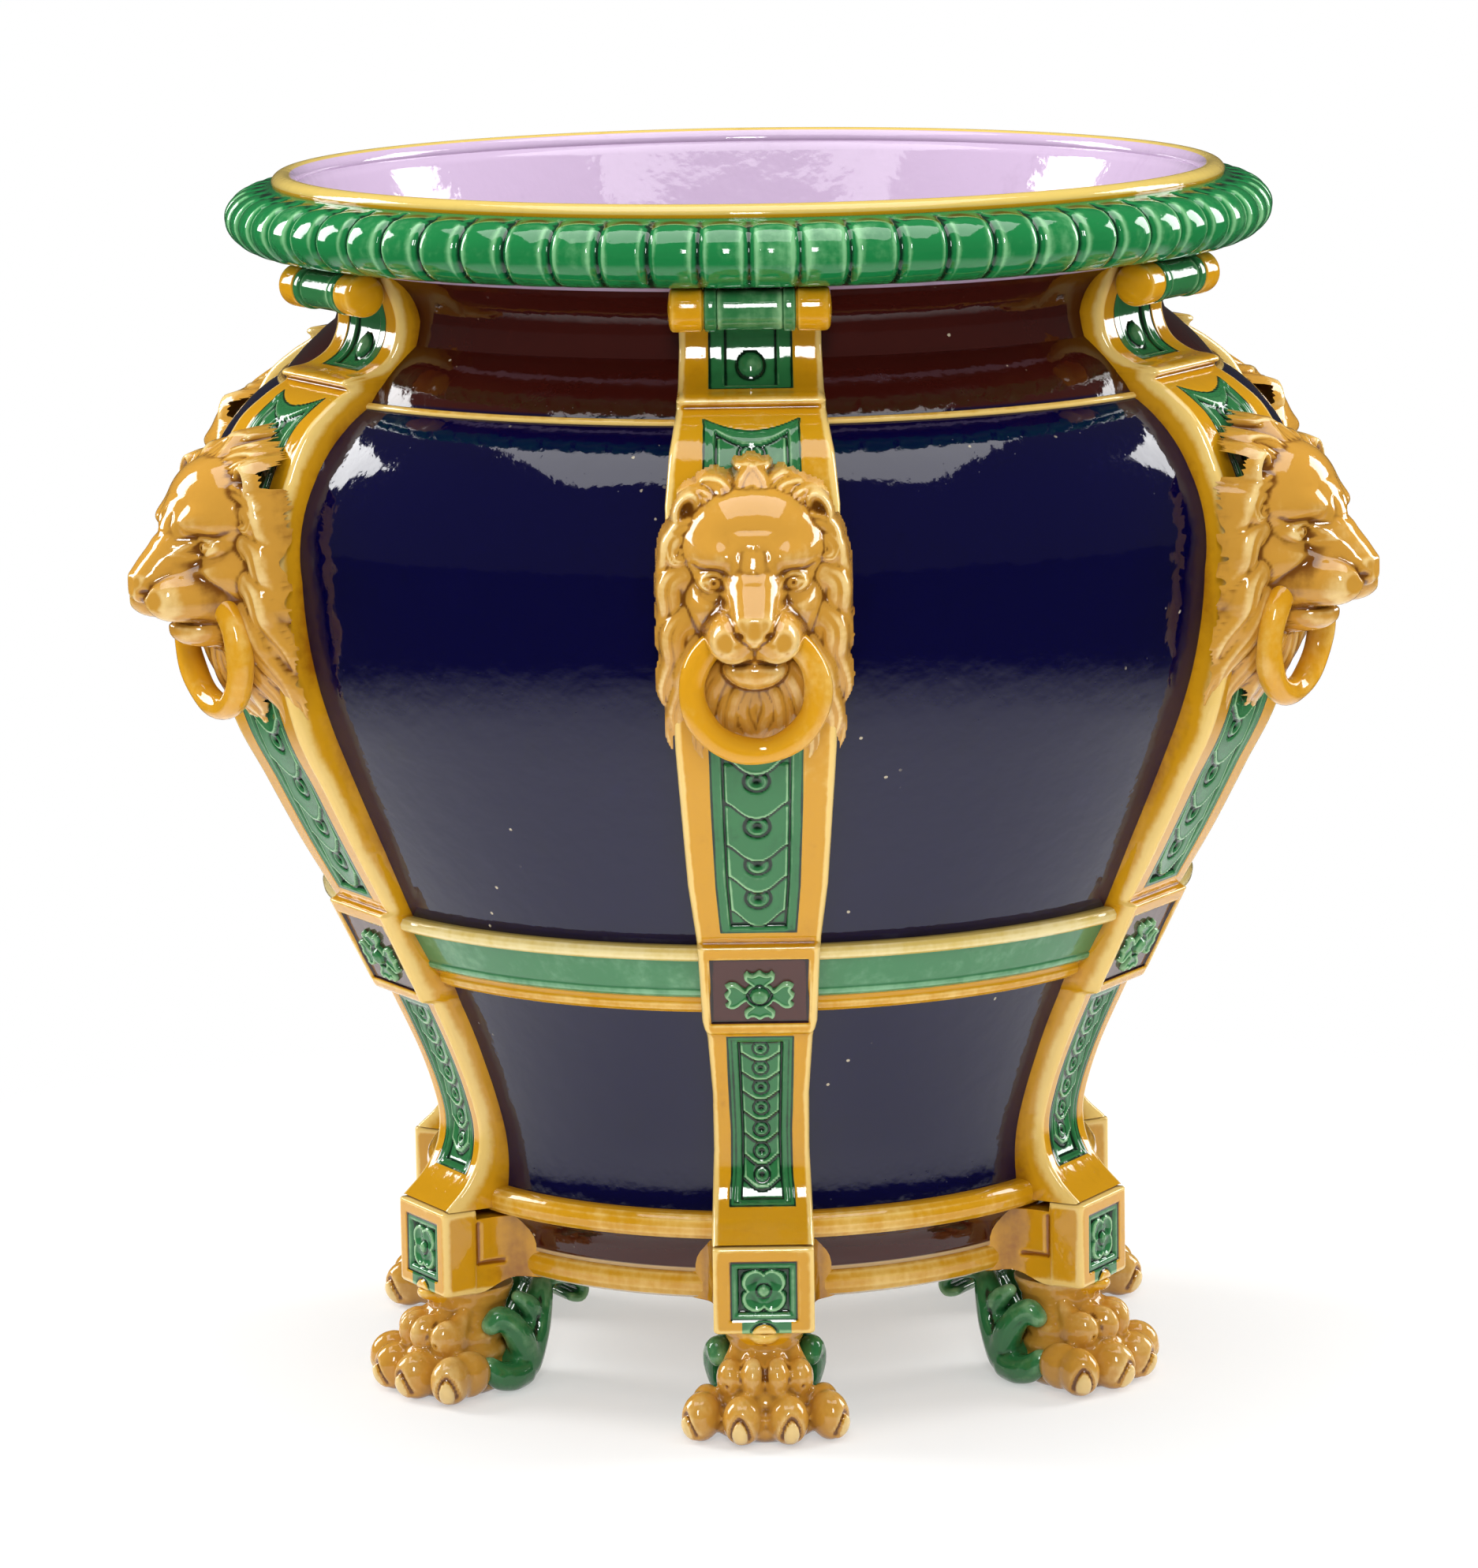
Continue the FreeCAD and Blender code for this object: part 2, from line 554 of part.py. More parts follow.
# ---------------------------------------------------------------- assembly
def build():
    """Every piece of the pot by the name of its node."""
    core = body_core()
    rim = gadrooned_rim()
    ring_low = base_ring()
    strap = pilaster(core)
    roll = scroll_roll().cut(strap).cut(core).cut(rim)
    mask = lion_mask(strap.fuse(core))
    handle = largest(mouth_ring().cut(mask).cut(strap))
    sprig = largest(waist_sprig().cut(strap))
    block = largest(foot_block().cut(core).cut(ring_low).cut(lower_band()))
    paw = paw_foot()
    leaf = acanthus_leaf(paw)
    nodes = {
        "body_shell": body_shell(),
        "rim_bead": lip(),
        "gadrooned_rim": rim,
        "base_ring": ring_low,
    }
    behind_straps = Part.makeCompound(all_stations(front_prism(PILASTER_HALF_WIDTH)))
    for name, belt in (("shoulder_fillet", shoulder_fillet()), ("waist_band", waist_band()),
                       ("lower_band", lower_band())):
        nodes[name] = belt.cut(core).cut(behind_straps)
    station_pieces = {
        "pilaster": strap, "scroll_roll": largest(roll), "lion_mask": mask, "ring_handle": handle,
        "waist_sprig": sprig, "foot_block": block, "paw_foot": paw, "acanthus_leaf": leaf,
    }
    for name, shape in station_pieces.items():
        for index, copy in enumerate(all_stations(shape)):
            nodes["%s_%d" % (name, index + 1)] = copy
    return nodes


for node, shape in build().items():
    shape.exportStep("parts/%s.step" % node)
    print("%-20s solids %d  volume %.0f  valid %s" % (node, len(shape.Solids), shape.Volume, shape.isValid()))
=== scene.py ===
"""A glazed earthenware jardiniere on six lion-paw feet, dressed round its fixed frame.

Shapes are worked out in millimetres in a station frame: X runs outwards from the
axis of the pot, Y runs to the right of someone who looks at it, Z is up.
"""
import logging
import math
from dataclasses import dataclass, field
from enum import Enum
from typing import Callable, Optional, Sequence

import bmesh
import bpy
import numpy as np
from mathutils import Matrix, Vector

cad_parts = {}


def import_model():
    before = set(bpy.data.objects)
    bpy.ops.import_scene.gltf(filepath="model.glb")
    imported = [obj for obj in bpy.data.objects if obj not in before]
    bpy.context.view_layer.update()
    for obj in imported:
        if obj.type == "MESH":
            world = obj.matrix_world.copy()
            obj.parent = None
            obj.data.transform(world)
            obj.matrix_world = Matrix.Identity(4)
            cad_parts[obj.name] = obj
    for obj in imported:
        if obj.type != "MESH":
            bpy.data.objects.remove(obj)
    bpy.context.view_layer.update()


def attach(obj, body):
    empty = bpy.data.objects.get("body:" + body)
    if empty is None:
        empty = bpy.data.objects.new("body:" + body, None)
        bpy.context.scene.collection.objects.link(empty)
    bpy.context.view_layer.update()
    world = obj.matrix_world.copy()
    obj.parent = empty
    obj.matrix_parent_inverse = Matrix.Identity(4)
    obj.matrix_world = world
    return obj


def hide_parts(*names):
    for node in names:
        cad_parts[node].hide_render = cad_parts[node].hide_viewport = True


LOG = logging.getLogger("jardiniere")
MM = 0.001
EVEN = 1e6  # a depth no hollow reaches: the piece's own round isn't taken for relief
POT_HEIGHTS = (59.5, 75.5, 102, 118, 145, 173.5, 204.5, 240, 277, 310, 345, 370, 387, 402, 412.5, 425.5,
               444, 456.5,
               464.5, 490.5)
POT_RADII = (126, 133, 132.4, 135.2, 144.2, 157.5, 176, 193.2, 210, 221.3, 226.3, 224.4, 218.8, 206.5, 192,
             175.6,
             168.8, 174.5, 190, 190)
STATIONS = 6
NEAR_ROUNDS, FAR_ROUNDS = 6, 34  # rounds of smoothing that find hollows near by and over a wider reach
HOLLOW_SHARE, HOLLOW_LIMIT = 0.6, 1.2
CHIP_COLOUR = "cfc3a8"
RIPPLE_STRENGTH, RIPPLE_DEPTH = 0.22, 0.0012
COAT_ROUGHNESS = 0.03
ROOM_LEVEL, ROOM_MIRRORED = 0.30, 0.20
Line = Sequence[Sequence[float]]


class Zone(Enum):
    """Masks painted on a piece, one for each second or third glaze on it."""

    FIRST = "glaze_first"
    SECOND = "glaze_second"
    THIRD = "glaze_third"


# ------------------------------------------------------------------ small maths
def srgb(code: str) -> tuple[float, float, float, float]:
    """Turns a screen colour into the linear colour that a shader takes.

    Args:
        code: Six hexadecimal digits, red first.

    Returns:
        Red, green, blue and alpha.
    """
    parts = [int(code[i:i + 2], 16) / 255 for i in (0, 2, 4)]
    linear = [p / 12.92 if p <= 0.04045 else ((p + 0.055) / 1.055) ** 2.4 for p in parts]
    return (linear[0], linear[1], linear[2], 1.0)


def step(low: float, high: float, value: np.ndarray) -> np.ndarray:
    """A soft step from 0 at low to 1 at high."""
    t = np.clip((value - low) / (high - low), 0.0, 1.0)
    return t * t * (3 - 2 * t)


def bump(value: np.ndarray, width: float) -> np.ndarray:
    """A smooth hill of height 1 round zero."""
    return np.exp(-((value / width) ** 2))


def smooth_max(a: np.ndarray, b: np.ndarray, blend: float) -> np.ndarray:
    """The higher of two surfaces, run together over a blend in millimetres."""
    h = np.clip(0.5 + 0.5 * (a - b) / blend, 0.0, 1.0)
    return b + (a - b) * h + blend * h * (1 - h)


def drawn_through(points: Line, per_run: int) -> np.ndarray:
    """Rounds a run of points off into an even curve that passes through them.

    Args:
        points: The points, of two or more numbers each.
        per_run: Steps between one point and the next.

    Returns:
        One row for each step of the curve.
    """
    p = np.array(points, float)
    p = np.vstack([2 * p[0] - p[1], p, 2 * p[-1] - p[-2]])
    rows = []
    for i in range(1, len(p) - 2):
        t = np.linspace(0, 1, per_run, endpoint=False)[:, None]
        a, b, c, d = p[i - 1], p[i], p[i + 1], p[i + 2]
        rows.append(0.5 * (2 * b + (c - a) * t + (2 * a - 5 * b + 4 * c - d) * t ** 2
                           + (3 * b - a - 3 * c + d) * t ** 3))
    return np.vstack(rows + [p[-2][None, :]])


def along(line: np.ndarray, points: np.ndarray) -> tuple[np.ndarray, np.ndarray, np.ndarray]:
    """Measures points against a line.

    Args:
        line: The line's points, in the same two or three directions as the points.
        points: The points to measure.

    Returns:
        Distance to the line, share of the way along it, and in two directions the
        side of the line as a signed distance.
    """
    best = np.full(len(points), 1e9)
    share = np.zeros(len(points))
    side = np.zeros(len(points))
    lengths = np.linalg.norm(np.diff(line, axis=0), axis=1)
    starts = np.concatenate([[0], np.cumsum(lengths)])
    for i, length in enumerate(lengths):
        run = line[i + 1] - line[i]
        t = np.clip(((points - line[i]) @ run) / max(length ** 2, 1e-9), 0, 1)
        away = points - (line[i] + t[:, None] * run)
        distance = np.linalg.norm(away, axis=1)
        near = distance < best
        best[near] = distance[near]
        share[near] = (starts[i] + t[near] * length) / starts[-1]
        if points.shape[1] == 2:
            sign = np.sign(run[0] * away[:, 1] - run[1] * away[:, 0])
            side[near] = (sign * distance)[near]
    return best, share, side


def pot_radius(z: np.ndarray) -> np.ndarray:
    """The pot's outer radius at a height."""
    return np.interp(z, POT_HEIGHTS, POT_RADII)


# ------------------------------------------------------------------ meshes
def spun(profile: Line, turns: int, axis: str = "Z", closed: bool = False) -> bmesh.types.BMesh:
    """Turns a profile round an axis.

    Args:
        profile: Points of (distance from the axis, place along it).
        turns: Steps round.
        axis: The axis, Z or Y.
        closed: Whether the last point joins the first.

    Returns:
        The turned mesh.
    """
    bm = bmesh.new()
    place = (lambda r, h: (r, 0, h)) if axis == "Z" else (lambda r, h: (r, h, 0))
    verts = [bm.verts.new(place(r, h)) for r, h in profile]
    edges = [bm.edges.new(pair) for pair in zip(verts, verts[1:])]
    if closed:
        edges.append(bm.edges.new((verts[-1], verts[0])))
    around = (0, 0, 1) if axis == "Z" else (0, 1, 0)
    bmesh.ops.spin(bm, geom=verts + edges, cent=(0, 0, 0), axis=around, angle=math.tau, steps=turns,
                   use_merge=True, use_normal_flip=False, use_duplicate=False)
    bmesh.ops.remove_doubles(bm, verts=bm.verts, dist=0.01)
    bmesh.ops.recalc_face_normals(bm, faces=bm.faces)
    return bm


def sheet(columns: np.ndarray, rows: np.ndarray,
          place: Callable[[np.ndarray, np.ndarray], np.ndarray]) -> bmesh.types.BMesh:
    """A sheet of clay laid over a form.

    Args:
        columns: Where the sheet's columns stand.
        rows: Where its rows stand.
        place: Gives a point in space for each column and row.

    Returns:
        The sheet, with columns running one way and rows the other.
    """
    bm = bmesh.new()
    bmesh.ops.create_grid(bm, x_segments=len(columns) - 1, y_segments=len(rows) - 1, size=1.0)
    flat = np.array([v.co[:2] for v in bm.verts])
    i = np.rint((flat[:, 0] + 1) / 2 * (len(columns) - 1)).astype(int)
    j = np.rint((flat[:, 1] + 1) / 2 * (len(rows) - 1)).astype(int)
    for vert, co in zip(bm.verts, place(columns[i], rows[j])):
        vert.co = co
    return bm


def chain(bm: bmesh.types.BMesh, stops: Line, per_run: int = 5) -> None:
    """Presses a run of clay balls together along a bent line.

    Args:
        bm: The mesh that takes the balls.
        stops: Points of (x, y, z, radius).
        per_run: Balls between one point and the next.
    """
    for x, y, z, radius in drawn_through(stops, per_run):
        bmesh.ops.create_icosphere(bm, subdivisions=2, radius=max(radius, 0.6),
                                   matrix=Matrix.Translation((x, y, z)))


def ball(bm: bmesh.types.BMesh, centre: Sequence[float], axes: Sequence[float], tilt: float = 0.0,
         turn: float = 0.0) -> None:
    """Adds a rounded lump with three half-axes.

    Args:
        bm: The mesh that takes it.
        centre: Its middle.
        axes: Its half-axes along X, Y and Z.
        tilt: Degrees about Y.
        turn: Degrees about Z.
    """
    matrix = (Matrix.Translation(centre) @ Matrix.Rotation(math.radians(turn), 4, "Z")
              @ Matrix.Rotation(math.radians(tilt), 4, "Y") @ Matrix.Diagonal((*axes, 1.0)))
    bmesh.ops.create_icosphere(bm, subdivisions=3, radius=1.0, matrix=matrix)


def as_one(bm: bmesh.types.BMesh, voxel: float, rounds: int) -> bmesh.types.BMesh:
    """Runs overlapping lumps together into one skin.

    Args:
        bm: The lumps.
        voxel: Fineness in millimetres.
        rounds: Rounds of smoothing afterwards.

    Returns:
        The skin.
    """
    mesh = bpy.data.meshes.new("lumps")
    bm.to_mesh(mesh)
    bm.free()
    lump = bpy.data.objects.new("lumps", mesh)
    bpy.context.scene.collection.objects.link(lump)
    remesh = lump.modifiers.new("skin", "REMESH")
    remesh.mode = "VOXEL"
    remesh.voxel_size = voxel
    skin = bpy.data.meshes.new_from_object(lump.evaluated_get(bpy.context.evaluated_depsgraph_get()))
    bpy.data.objects.remove(lump)
    bpy.data.meshes.remove(mesh)
    one = bmesh.new()
    one.from_mesh(skin)
    bpy.data.meshes.remove(skin)
    for _ in range(rounds):
        bmesh.ops.smooth_vert(one, verts=one.verts, factor=0.5, use_axis_x=True, use_axis_y=True,
                              use_axis_z=True)
    return one


@dataclass
class Skin:
    """The points of a mesh as arrays, so that a tool can be drawn over them."""

    bm: bmesh.types.BMesh
    points: np.ndarray = field(init=False)
    normals: np.ndarray = field(init=False)
    ink: np.ndarray = field(init=False)

    def __post_init__(self) -> None:
        """Reads the points once."""
        self.bm.normal_update()
        self.points = np.array([v.co[:] for v in self.bm.verts])
        self.normals = np.array([v.normal[:] for v in self.bm.verts])
        self.ink = np.zeros(len(self.points))

    def stroke(self, stops: Line, width: float, height: float, ink: float = 0.0) -> None:
        """Draws a tool along a line, raising or cutting the clay.

        Args:
            stops: Points of (x, y, z).
            width: Half width of the mark.
            height: How far it stands up, below zero for a cut.
            ink: How much darker the mark is painted: gathered glaze and painted shade.
        """
        distance, share, _ = along(drawn_through(stops, 6), self.points)
        fade = step(0.0, 0.12, share) * step(0.0, 0.12, 1 - share)
        mark = bump(distance, width) * (0.35 + 0.65 * fade)
        self.points += self.normals * (mark * height)[:, None]
        self.ink += mark * ink

    def put_back(self) -> None:
        """Writes the points into the mesh."""
        for vert, co in zip(self.bm.verts, self.points):
            vert.co = co
        self.bm.normal_update()


def painted(mesh: bpy.types.Mesh, name: str, values: np.ndarray) -> None:
    """Stores one number for each point of a mesh under a name."""
    layer = mesh.attributes.get(name) or mesh.attributes.new(name, "FLOAT", "POINT")
    layer.data.foreach_set("value", np.asarray(values, np.float32))


def hollows(mesh: bpy.types.Mesh, fine: float, wide: float) -> np.ndarray:
    """Finds how deep each point lies among its neighbours, where glaze would gather and shade would fall; the
    colour made from it paints shade in hollows and highlight on edges, with the glaze.

    Args:
        mesh: The mesh, in millimetres.
        fine: Depth in millimetres that counts as a full hollow near by.
        wide: The same over a wider reach.

    Returns:
        Above 0 in hollows and below 0 on edges, for each point.
    """
    count = len(mesh.vertices)
    co = np.zeros(count * 3)
    mesh.vertices.foreach_get("co", co)
    co = co.reshape(-1, 3)
    normal = np.zeros(count * 3)
    mesh.vertices.foreach_get("normal", normal)
    normal = normal.reshape(-1, 3)
    ends = np.zeros(len(mesh.edges) * 2, np.int64)
    mesh.edges.foreach_get("vertices", ends)
    a, b = ends.reshape(-1, 2).T
    degree = np.maximum(np.bincount(a, minlength=count) + np.bincount(b, minlength=count), 1)
    result = np.zeros(count)
    soft = co.copy()
    for rounds, depth in ((NEAR_ROUNDS, fine), (FAR_ROUNDS, wide)):
        for _ in range(rounds):
            moved = np.empty_like(soft)
            for axis in range(3):
                sums = (np.bincount(a, soft[b, axis], count) + np.bincount(b, soft[a, axis], count))
                moved[:, axis] = sums / degree
            soft = 0.5 * soft + 0.5 * moved
        result += HOLLOW_SHARE * np.clip(np.sum((soft - co) * normal, axis=1) / depth, -HOLLOW_LIMIT,
                                         HOLLOW_LIMIT)
    return np.clip(result, -1.0, 1.0)


# ------------------------------------------------------------------ glazes
@dataclass(frozen=True)
class Glaze:
    """One coloured lead glaze: light where it runs off edges, full on flats, dark where it gathers in
    hollows; the light edges are partly painted highlight and the dark hollows partly painted shade.
    """

    # The thin colour is partly a painted highlight and the pooled colour partly painted shade.
    thin_and_highlit: str
    full: str
    pooled_and_shaded: str


OCHRE = Glaze("f2d07c", "d09614", "8a4f06")
YELLOW = Glaze("f2d074", "d69a12", "8e5406")
RING_YELLOW = Glaze("f2d07c", "d99c1c", "9c5e08")
CREAM = Glaze("f0dfa6", "d9bd66", "9c7022")
TAN = Glaze("efd08c", "c99338", "744410")
LEAF = Glaze("92c28e", "2f7442", "0a2415")
BELT_GREEN = Glaze("86ba90", "3f7f52", "0d2a1a")
EMERALD = Glaze("86c48c", "1b7a40", "072c1a")
COBALT = Glaze("0e0c48", "050430", "02010c")
PLUM = Glaze("66241a", "3c120d", "130504")
MAUVE = Glaze("75463f", "4a2622", "1c0b0a")
LAVENDER = Glaze("e2d4e4", "c8b2ce", "a389a8")
BISCUIT = Glaze("e8d9bd", "cdb187", "8a6a40")


class NodeSheet:
    """Places nodes in a tree and joins them, so that a recipe reads in order."""

    def __init__(self, tree: bpy.types.NodeTree) -> None:
        """Starts on an empty tree."""
        self.tree = tree
        self.tree.nodes.clear()

    def add(self, kind: str, inputs: Optional[dict] = None, **settings: object) -> bpy.types.Node:
        """Adds one node.

        Args:
            kind: The node's type.
            inputs: Sockets by name or place, each a plain value or another node's output.
            **settings: The node's own properties.

        Returns:
            The node.
        """
        node = self.tree.nodes.new(kind)
        for name, value in settings.items():
            setattr(node, name, value)
        for key, value in (inputs or {}).items():
            socket = node.inputs[key]
            if isinstance(value, bpy.types.NodeSocket):
                self.tree.links.new(value, socket)
            else:
                socket.default_value = value
        return node

    def sums(self, operation: str, a: object, b: object = 0.0) -> bpy.types.NodeSocket:
        """One step of arithmetic, and its answer."""
        return self.add("ShaderNodeMath", {0: a, 1: b}, operation=operation).outputs[0]

    def ramp(self, value: object, low: float, high: float) -> bpy.types.NodeSocket:
        """A soft step between two levels, and its answer."""
        node = self.add("ShaderNodeMapRange", {"Value": value, "From Min": low, "From Max": high},
                        interpolation_type="SMOOTHSTEP")
        return node.outputs["Result"]

    def mixed(self, share: object, a: object, b: object) -> bpy.types.NodeSocket:
        """Two colours mixed by a share, and the answer."""
        node = self.add("ShaderNodeMix", {0: share, 6: a, 7: b}, data_type="RGBA")
        return node.outputs[2]


def new_group(name: str, takes: Sequence[tuple[str, str]],
              gives: Sequence[tuple[str, str]]) -> bpy.types.NodeTree:
    """An empty node group with its sockets.

    Args:
        name: The group's name.
        takes: Input sockets as (name, kind).
        gives: Output sockets as (name, kind).

    Returns:
        The group.
    """
    group = bpy.data.node_groups.new(name, "ShaderNodeTree")
    for label, kind in takes:
        group.interface.new_socket(name=label, in_out="INPUT", socket_type=kind)
    for label, kind in gives:
        group.interface.new_socket(name=label, in_out="OUTPUT", socket_type=kind)
    return group


class GlazeShop:
    """Mixes the shared effects once and makes every finish from them."""

    def __init__(self) -> None:
        """Builds the shared groups."""
        self.tone = self._tone_group()
        self.skin = self._skin_group()
        self.chips = self._chip_group()
        self.made: dict[str, bpy.types.Material] = {}

    def _tone_group(self) -> bpy.types.NodeTree:
        """The glaze's depth of colour, from edge to hollow, with its drift and its runs; the edge tone is
        partly painted highlight and the hollow tone partly painted shade.
        """
        colour, number = "NodeSocketColor", "NodeSocketFloat"
        group = new_group("glaze_tone",
                          [("Thin and highlit", colour), ("Full", colour), ("Pooled and shaded", colour), ("Hollow", number)],
                          [("Color", colour)])
        n = NodeSheet(group)
        source = n.add("NodeGroupInput")
        where = n.add("ShaderNodeTexCoord").outputs["Object"]
        drift = n.add("ShaderNodeTexNoise", {"Vector": where, "Scale": 27.0, "Detail": 2.0}).outputs["Fac"]
        grain = n.add("ShaderNodeTexNoise", {"Vector": where, "Scale": 330.0, "Detail": 3.0}).outputs["Fac"]
        stretched = n.add("ShaderNodeMapping", {"Vector": where, "Scale": (1.0, 1.0, 0.18)}).outputs[0]
        runs = n.add("ShaderNodeTexNoise",
                     {"Vector": stretched, "Scale": 190.0, "Detail": 2.0}).outputs["Fac"]
        wander = n.sums("ADD", n.sums("MULTIPLY", n.sums("SUBTRACT", grain, 0.5), 0.36),
                        n.sums("MULTIPLY", n.sums("SUBTRACT", runs, 0.5), 0.42))
        wander = n.sums("ADD", wander, n.sums("MULTIPLY", n.sums("SUBTRACT", drift, 0.5), 0.95))
        level = n.sums("ADD", source.outputs["Hollow"], wander)
        # Gathered glaze with painted shade in hollows; thinned glaze with a painted highlight on edges.
        pooled_and_shaded = n.ramp(level, 0.06, 0.90)
        thin_and_highlit = n.sums("MULTIPLY", n.ramp(level, -0.16, -0.80), 0.9)
        colour_now = n.mixed(pooled_and_shaded, source.outputs["Full"], source.outputs["Pooled and shaded"])
        colour_now = n.mixed(thin_and_highlit, colour_now, source.outputs["Thin and highlit"])
        n.add("NodeGroupOutput", {"Color": colour_now})
        return group

    def _skin_group(self) -> bpy.types.NodeTree:
        """The skin of the glaze: ripples, pinholes and a slightly uneven gloss."""
        number = "NodeSocketFloat"
        group = new_group("glaze_skin", [("Gloss", number)], [("Height", number), ("Roughness", number)])
        n = NodeSheet(group)
        source = n.add("NodeGroupInput")
        where = n.add("ShaderNodeTexCoord").outputs["Object"]
        ripple = n.add("ShaderNodeTexNoise", {"Vector": where, "Scale": 95.0, "Detail": 2.0}).outputs["Fac"]
        peel = n.add("ShaderNodeTexNoise", {"Vector": where, "Scale": 520.0, "Detail": 2.0}).outputs["Fac"]
        cells = n.add("ShaderNodeTexVoronoi", {"Vector": where, "Scale": 210.0}).outputs["Distance"]
        hole = n.ramp(cells, 0.10, 0.03)
        height = n.sums("ADD", n.sums("MULTIPLY", ripple, 1.0), n.sums("MULTIPLY", peel, 0.10))
        height = n.sums("SUBTRACT", height, n.sums("MULTIPLY", hole, 0.10))
        rough = n.sums("ADD", source.outputs["Gloss"], n.sums("MULTIPLY", n.ramp(peel, 0.45, 0.75), 0.05))
        rough = n.sums("ADD", rough, n.sums("MULTIPLY", hole, 0.15))
        n.add("NodeGroupOutput", {"Height": height, "Roughness": rough})
        return group

    def _chip_group(self) -> bpy.types.NodeTree:
        """Small chips and pits through the glaze, gathered in a few places."""
        number = "NodeSocketFloat"
        group = new_group("glaze_chips", [("Share", number)], [("Mask", number)])
        n = NodeSheet(group)
        source = n.add("NodeGroupInput")
        where = n.add("ShaderNodeTexCoord").outputs["Object"]
        wobble = n.add("ShaderNodeTexNoise", {"Vector": where, "Scale": 800.0, "Detail": 2.0}).outputs["Fac"]
        cells = n.add("ShaderNodeTexVoronoi", {"Vector": where, "Scale": 120.0}).outputs["Distance"]
        place = n.add("ShaderNodeTexNoise", {"Vector": where, "Scale": 22.0, "Detail": 1.0}).outputs["Fac"]
        near = n.sums("ADD", cells, n.sums("MULTIPLY", wobble, 0.12))
        spot = n.ramp(near, 0.16, 0.12)
        mask = n.sums("MULTIPLY", spot, n.ramp(place, 0.60, 0.66))
        mask = n.sums("MULTIPLY", mask, source.outputs["Share"])
        n.add("NodeGroupOutput", {"Mask": mask})
        return group

    def finish(self, name: str, glazes: Sequence[Glaze], gloss: float = 0.055, chips: float = 0.0,
               coat: float = 0.25) -> bpy.types.Material:
        """Makes one finish from up to four glazes, laid on by the piece's masks.

        Args:
            name: The material's name.
            glazes: The ground glaze, then one for each mask.
            gloss: The roughness of the fired skin.
            chips: How much the chips show.
            coat: Weight of the clear coat over the colour.

        Returns:
            The material.
        """
        if name in self.made:
            return self.made[name]
        material = bpy.data.materials.new(name)
        material.use_nodes = True
        n = NodeSheet(material.node_tree)
        hollow = n.add("ShaderNodeAttribute", attribute_name="hollow").outputs["Fac"]
        colour: Optional[bpy.types.NodeSocket] = None
        for glaze, zone in zip(glazes, [None, *Zone]):
            tone = n.add("ShaderNodeGroup", node_tree=self.tone)
            for label, code in (("Thin and highlit", glaze.thin_and_highlit), ("Full", glaze.full), ("Pooled and shaded", glaze.pooled_and_shaded)):
                tone.inputs[label].default_value = srgb(code)
            n.tree.links.new(hollow, tone.inputs["Hollow"])
            if zone is None:
                colour = tone.outputs["Color"]
                continue
            mask = n.add("ShaderNodeAttribute", attribute_name=zone.value).outputs["Fac"]
            colour = n.mixed(n.ramp(mask, 0.38, 0.62), colour, tone.outputs["Color"])
        skin = n.add("ShaderNodeGroup", node_tree=self.skin)
        skin.inputs["Gloss"].default_value = gloss
        rough = skin.outputs["Roughness"]
        if chips:
            chip = n.add("ShaderNodeGroup", node_tree=self.chips)
            chip.inputs["Share"].default_value = chips
            colour = n.mixed(chip.outputs["Mask"], colour, srgb(CHIP_COLOUR))
            rough = n.sums("ADD", rough, n.sums("MULTIPLY", chip.outputs["Mask"], 0.4))
        relief = n.add("ShaderNodeBump",
                       {"Strength": RIPPLE_STRENGTH, "Distance": RIPPLE_DEPTH,
                        "Height": skin.outputs["Height"]})
        shader = n.add("ShaderNodeBsdfPrincipled", {"Base Color": colour, "Roughness": rough,
                                                    "Normal": relief.outputs["Normal"], "Coat Weight": coat,
                                                    "Coat Roughness": COAT_ROUGHNESS})
        n.add("ShaderNodeOutputMaterial", {"Surface": shader.outputs["BSDF"]})
        self.made[name] = material
        return material


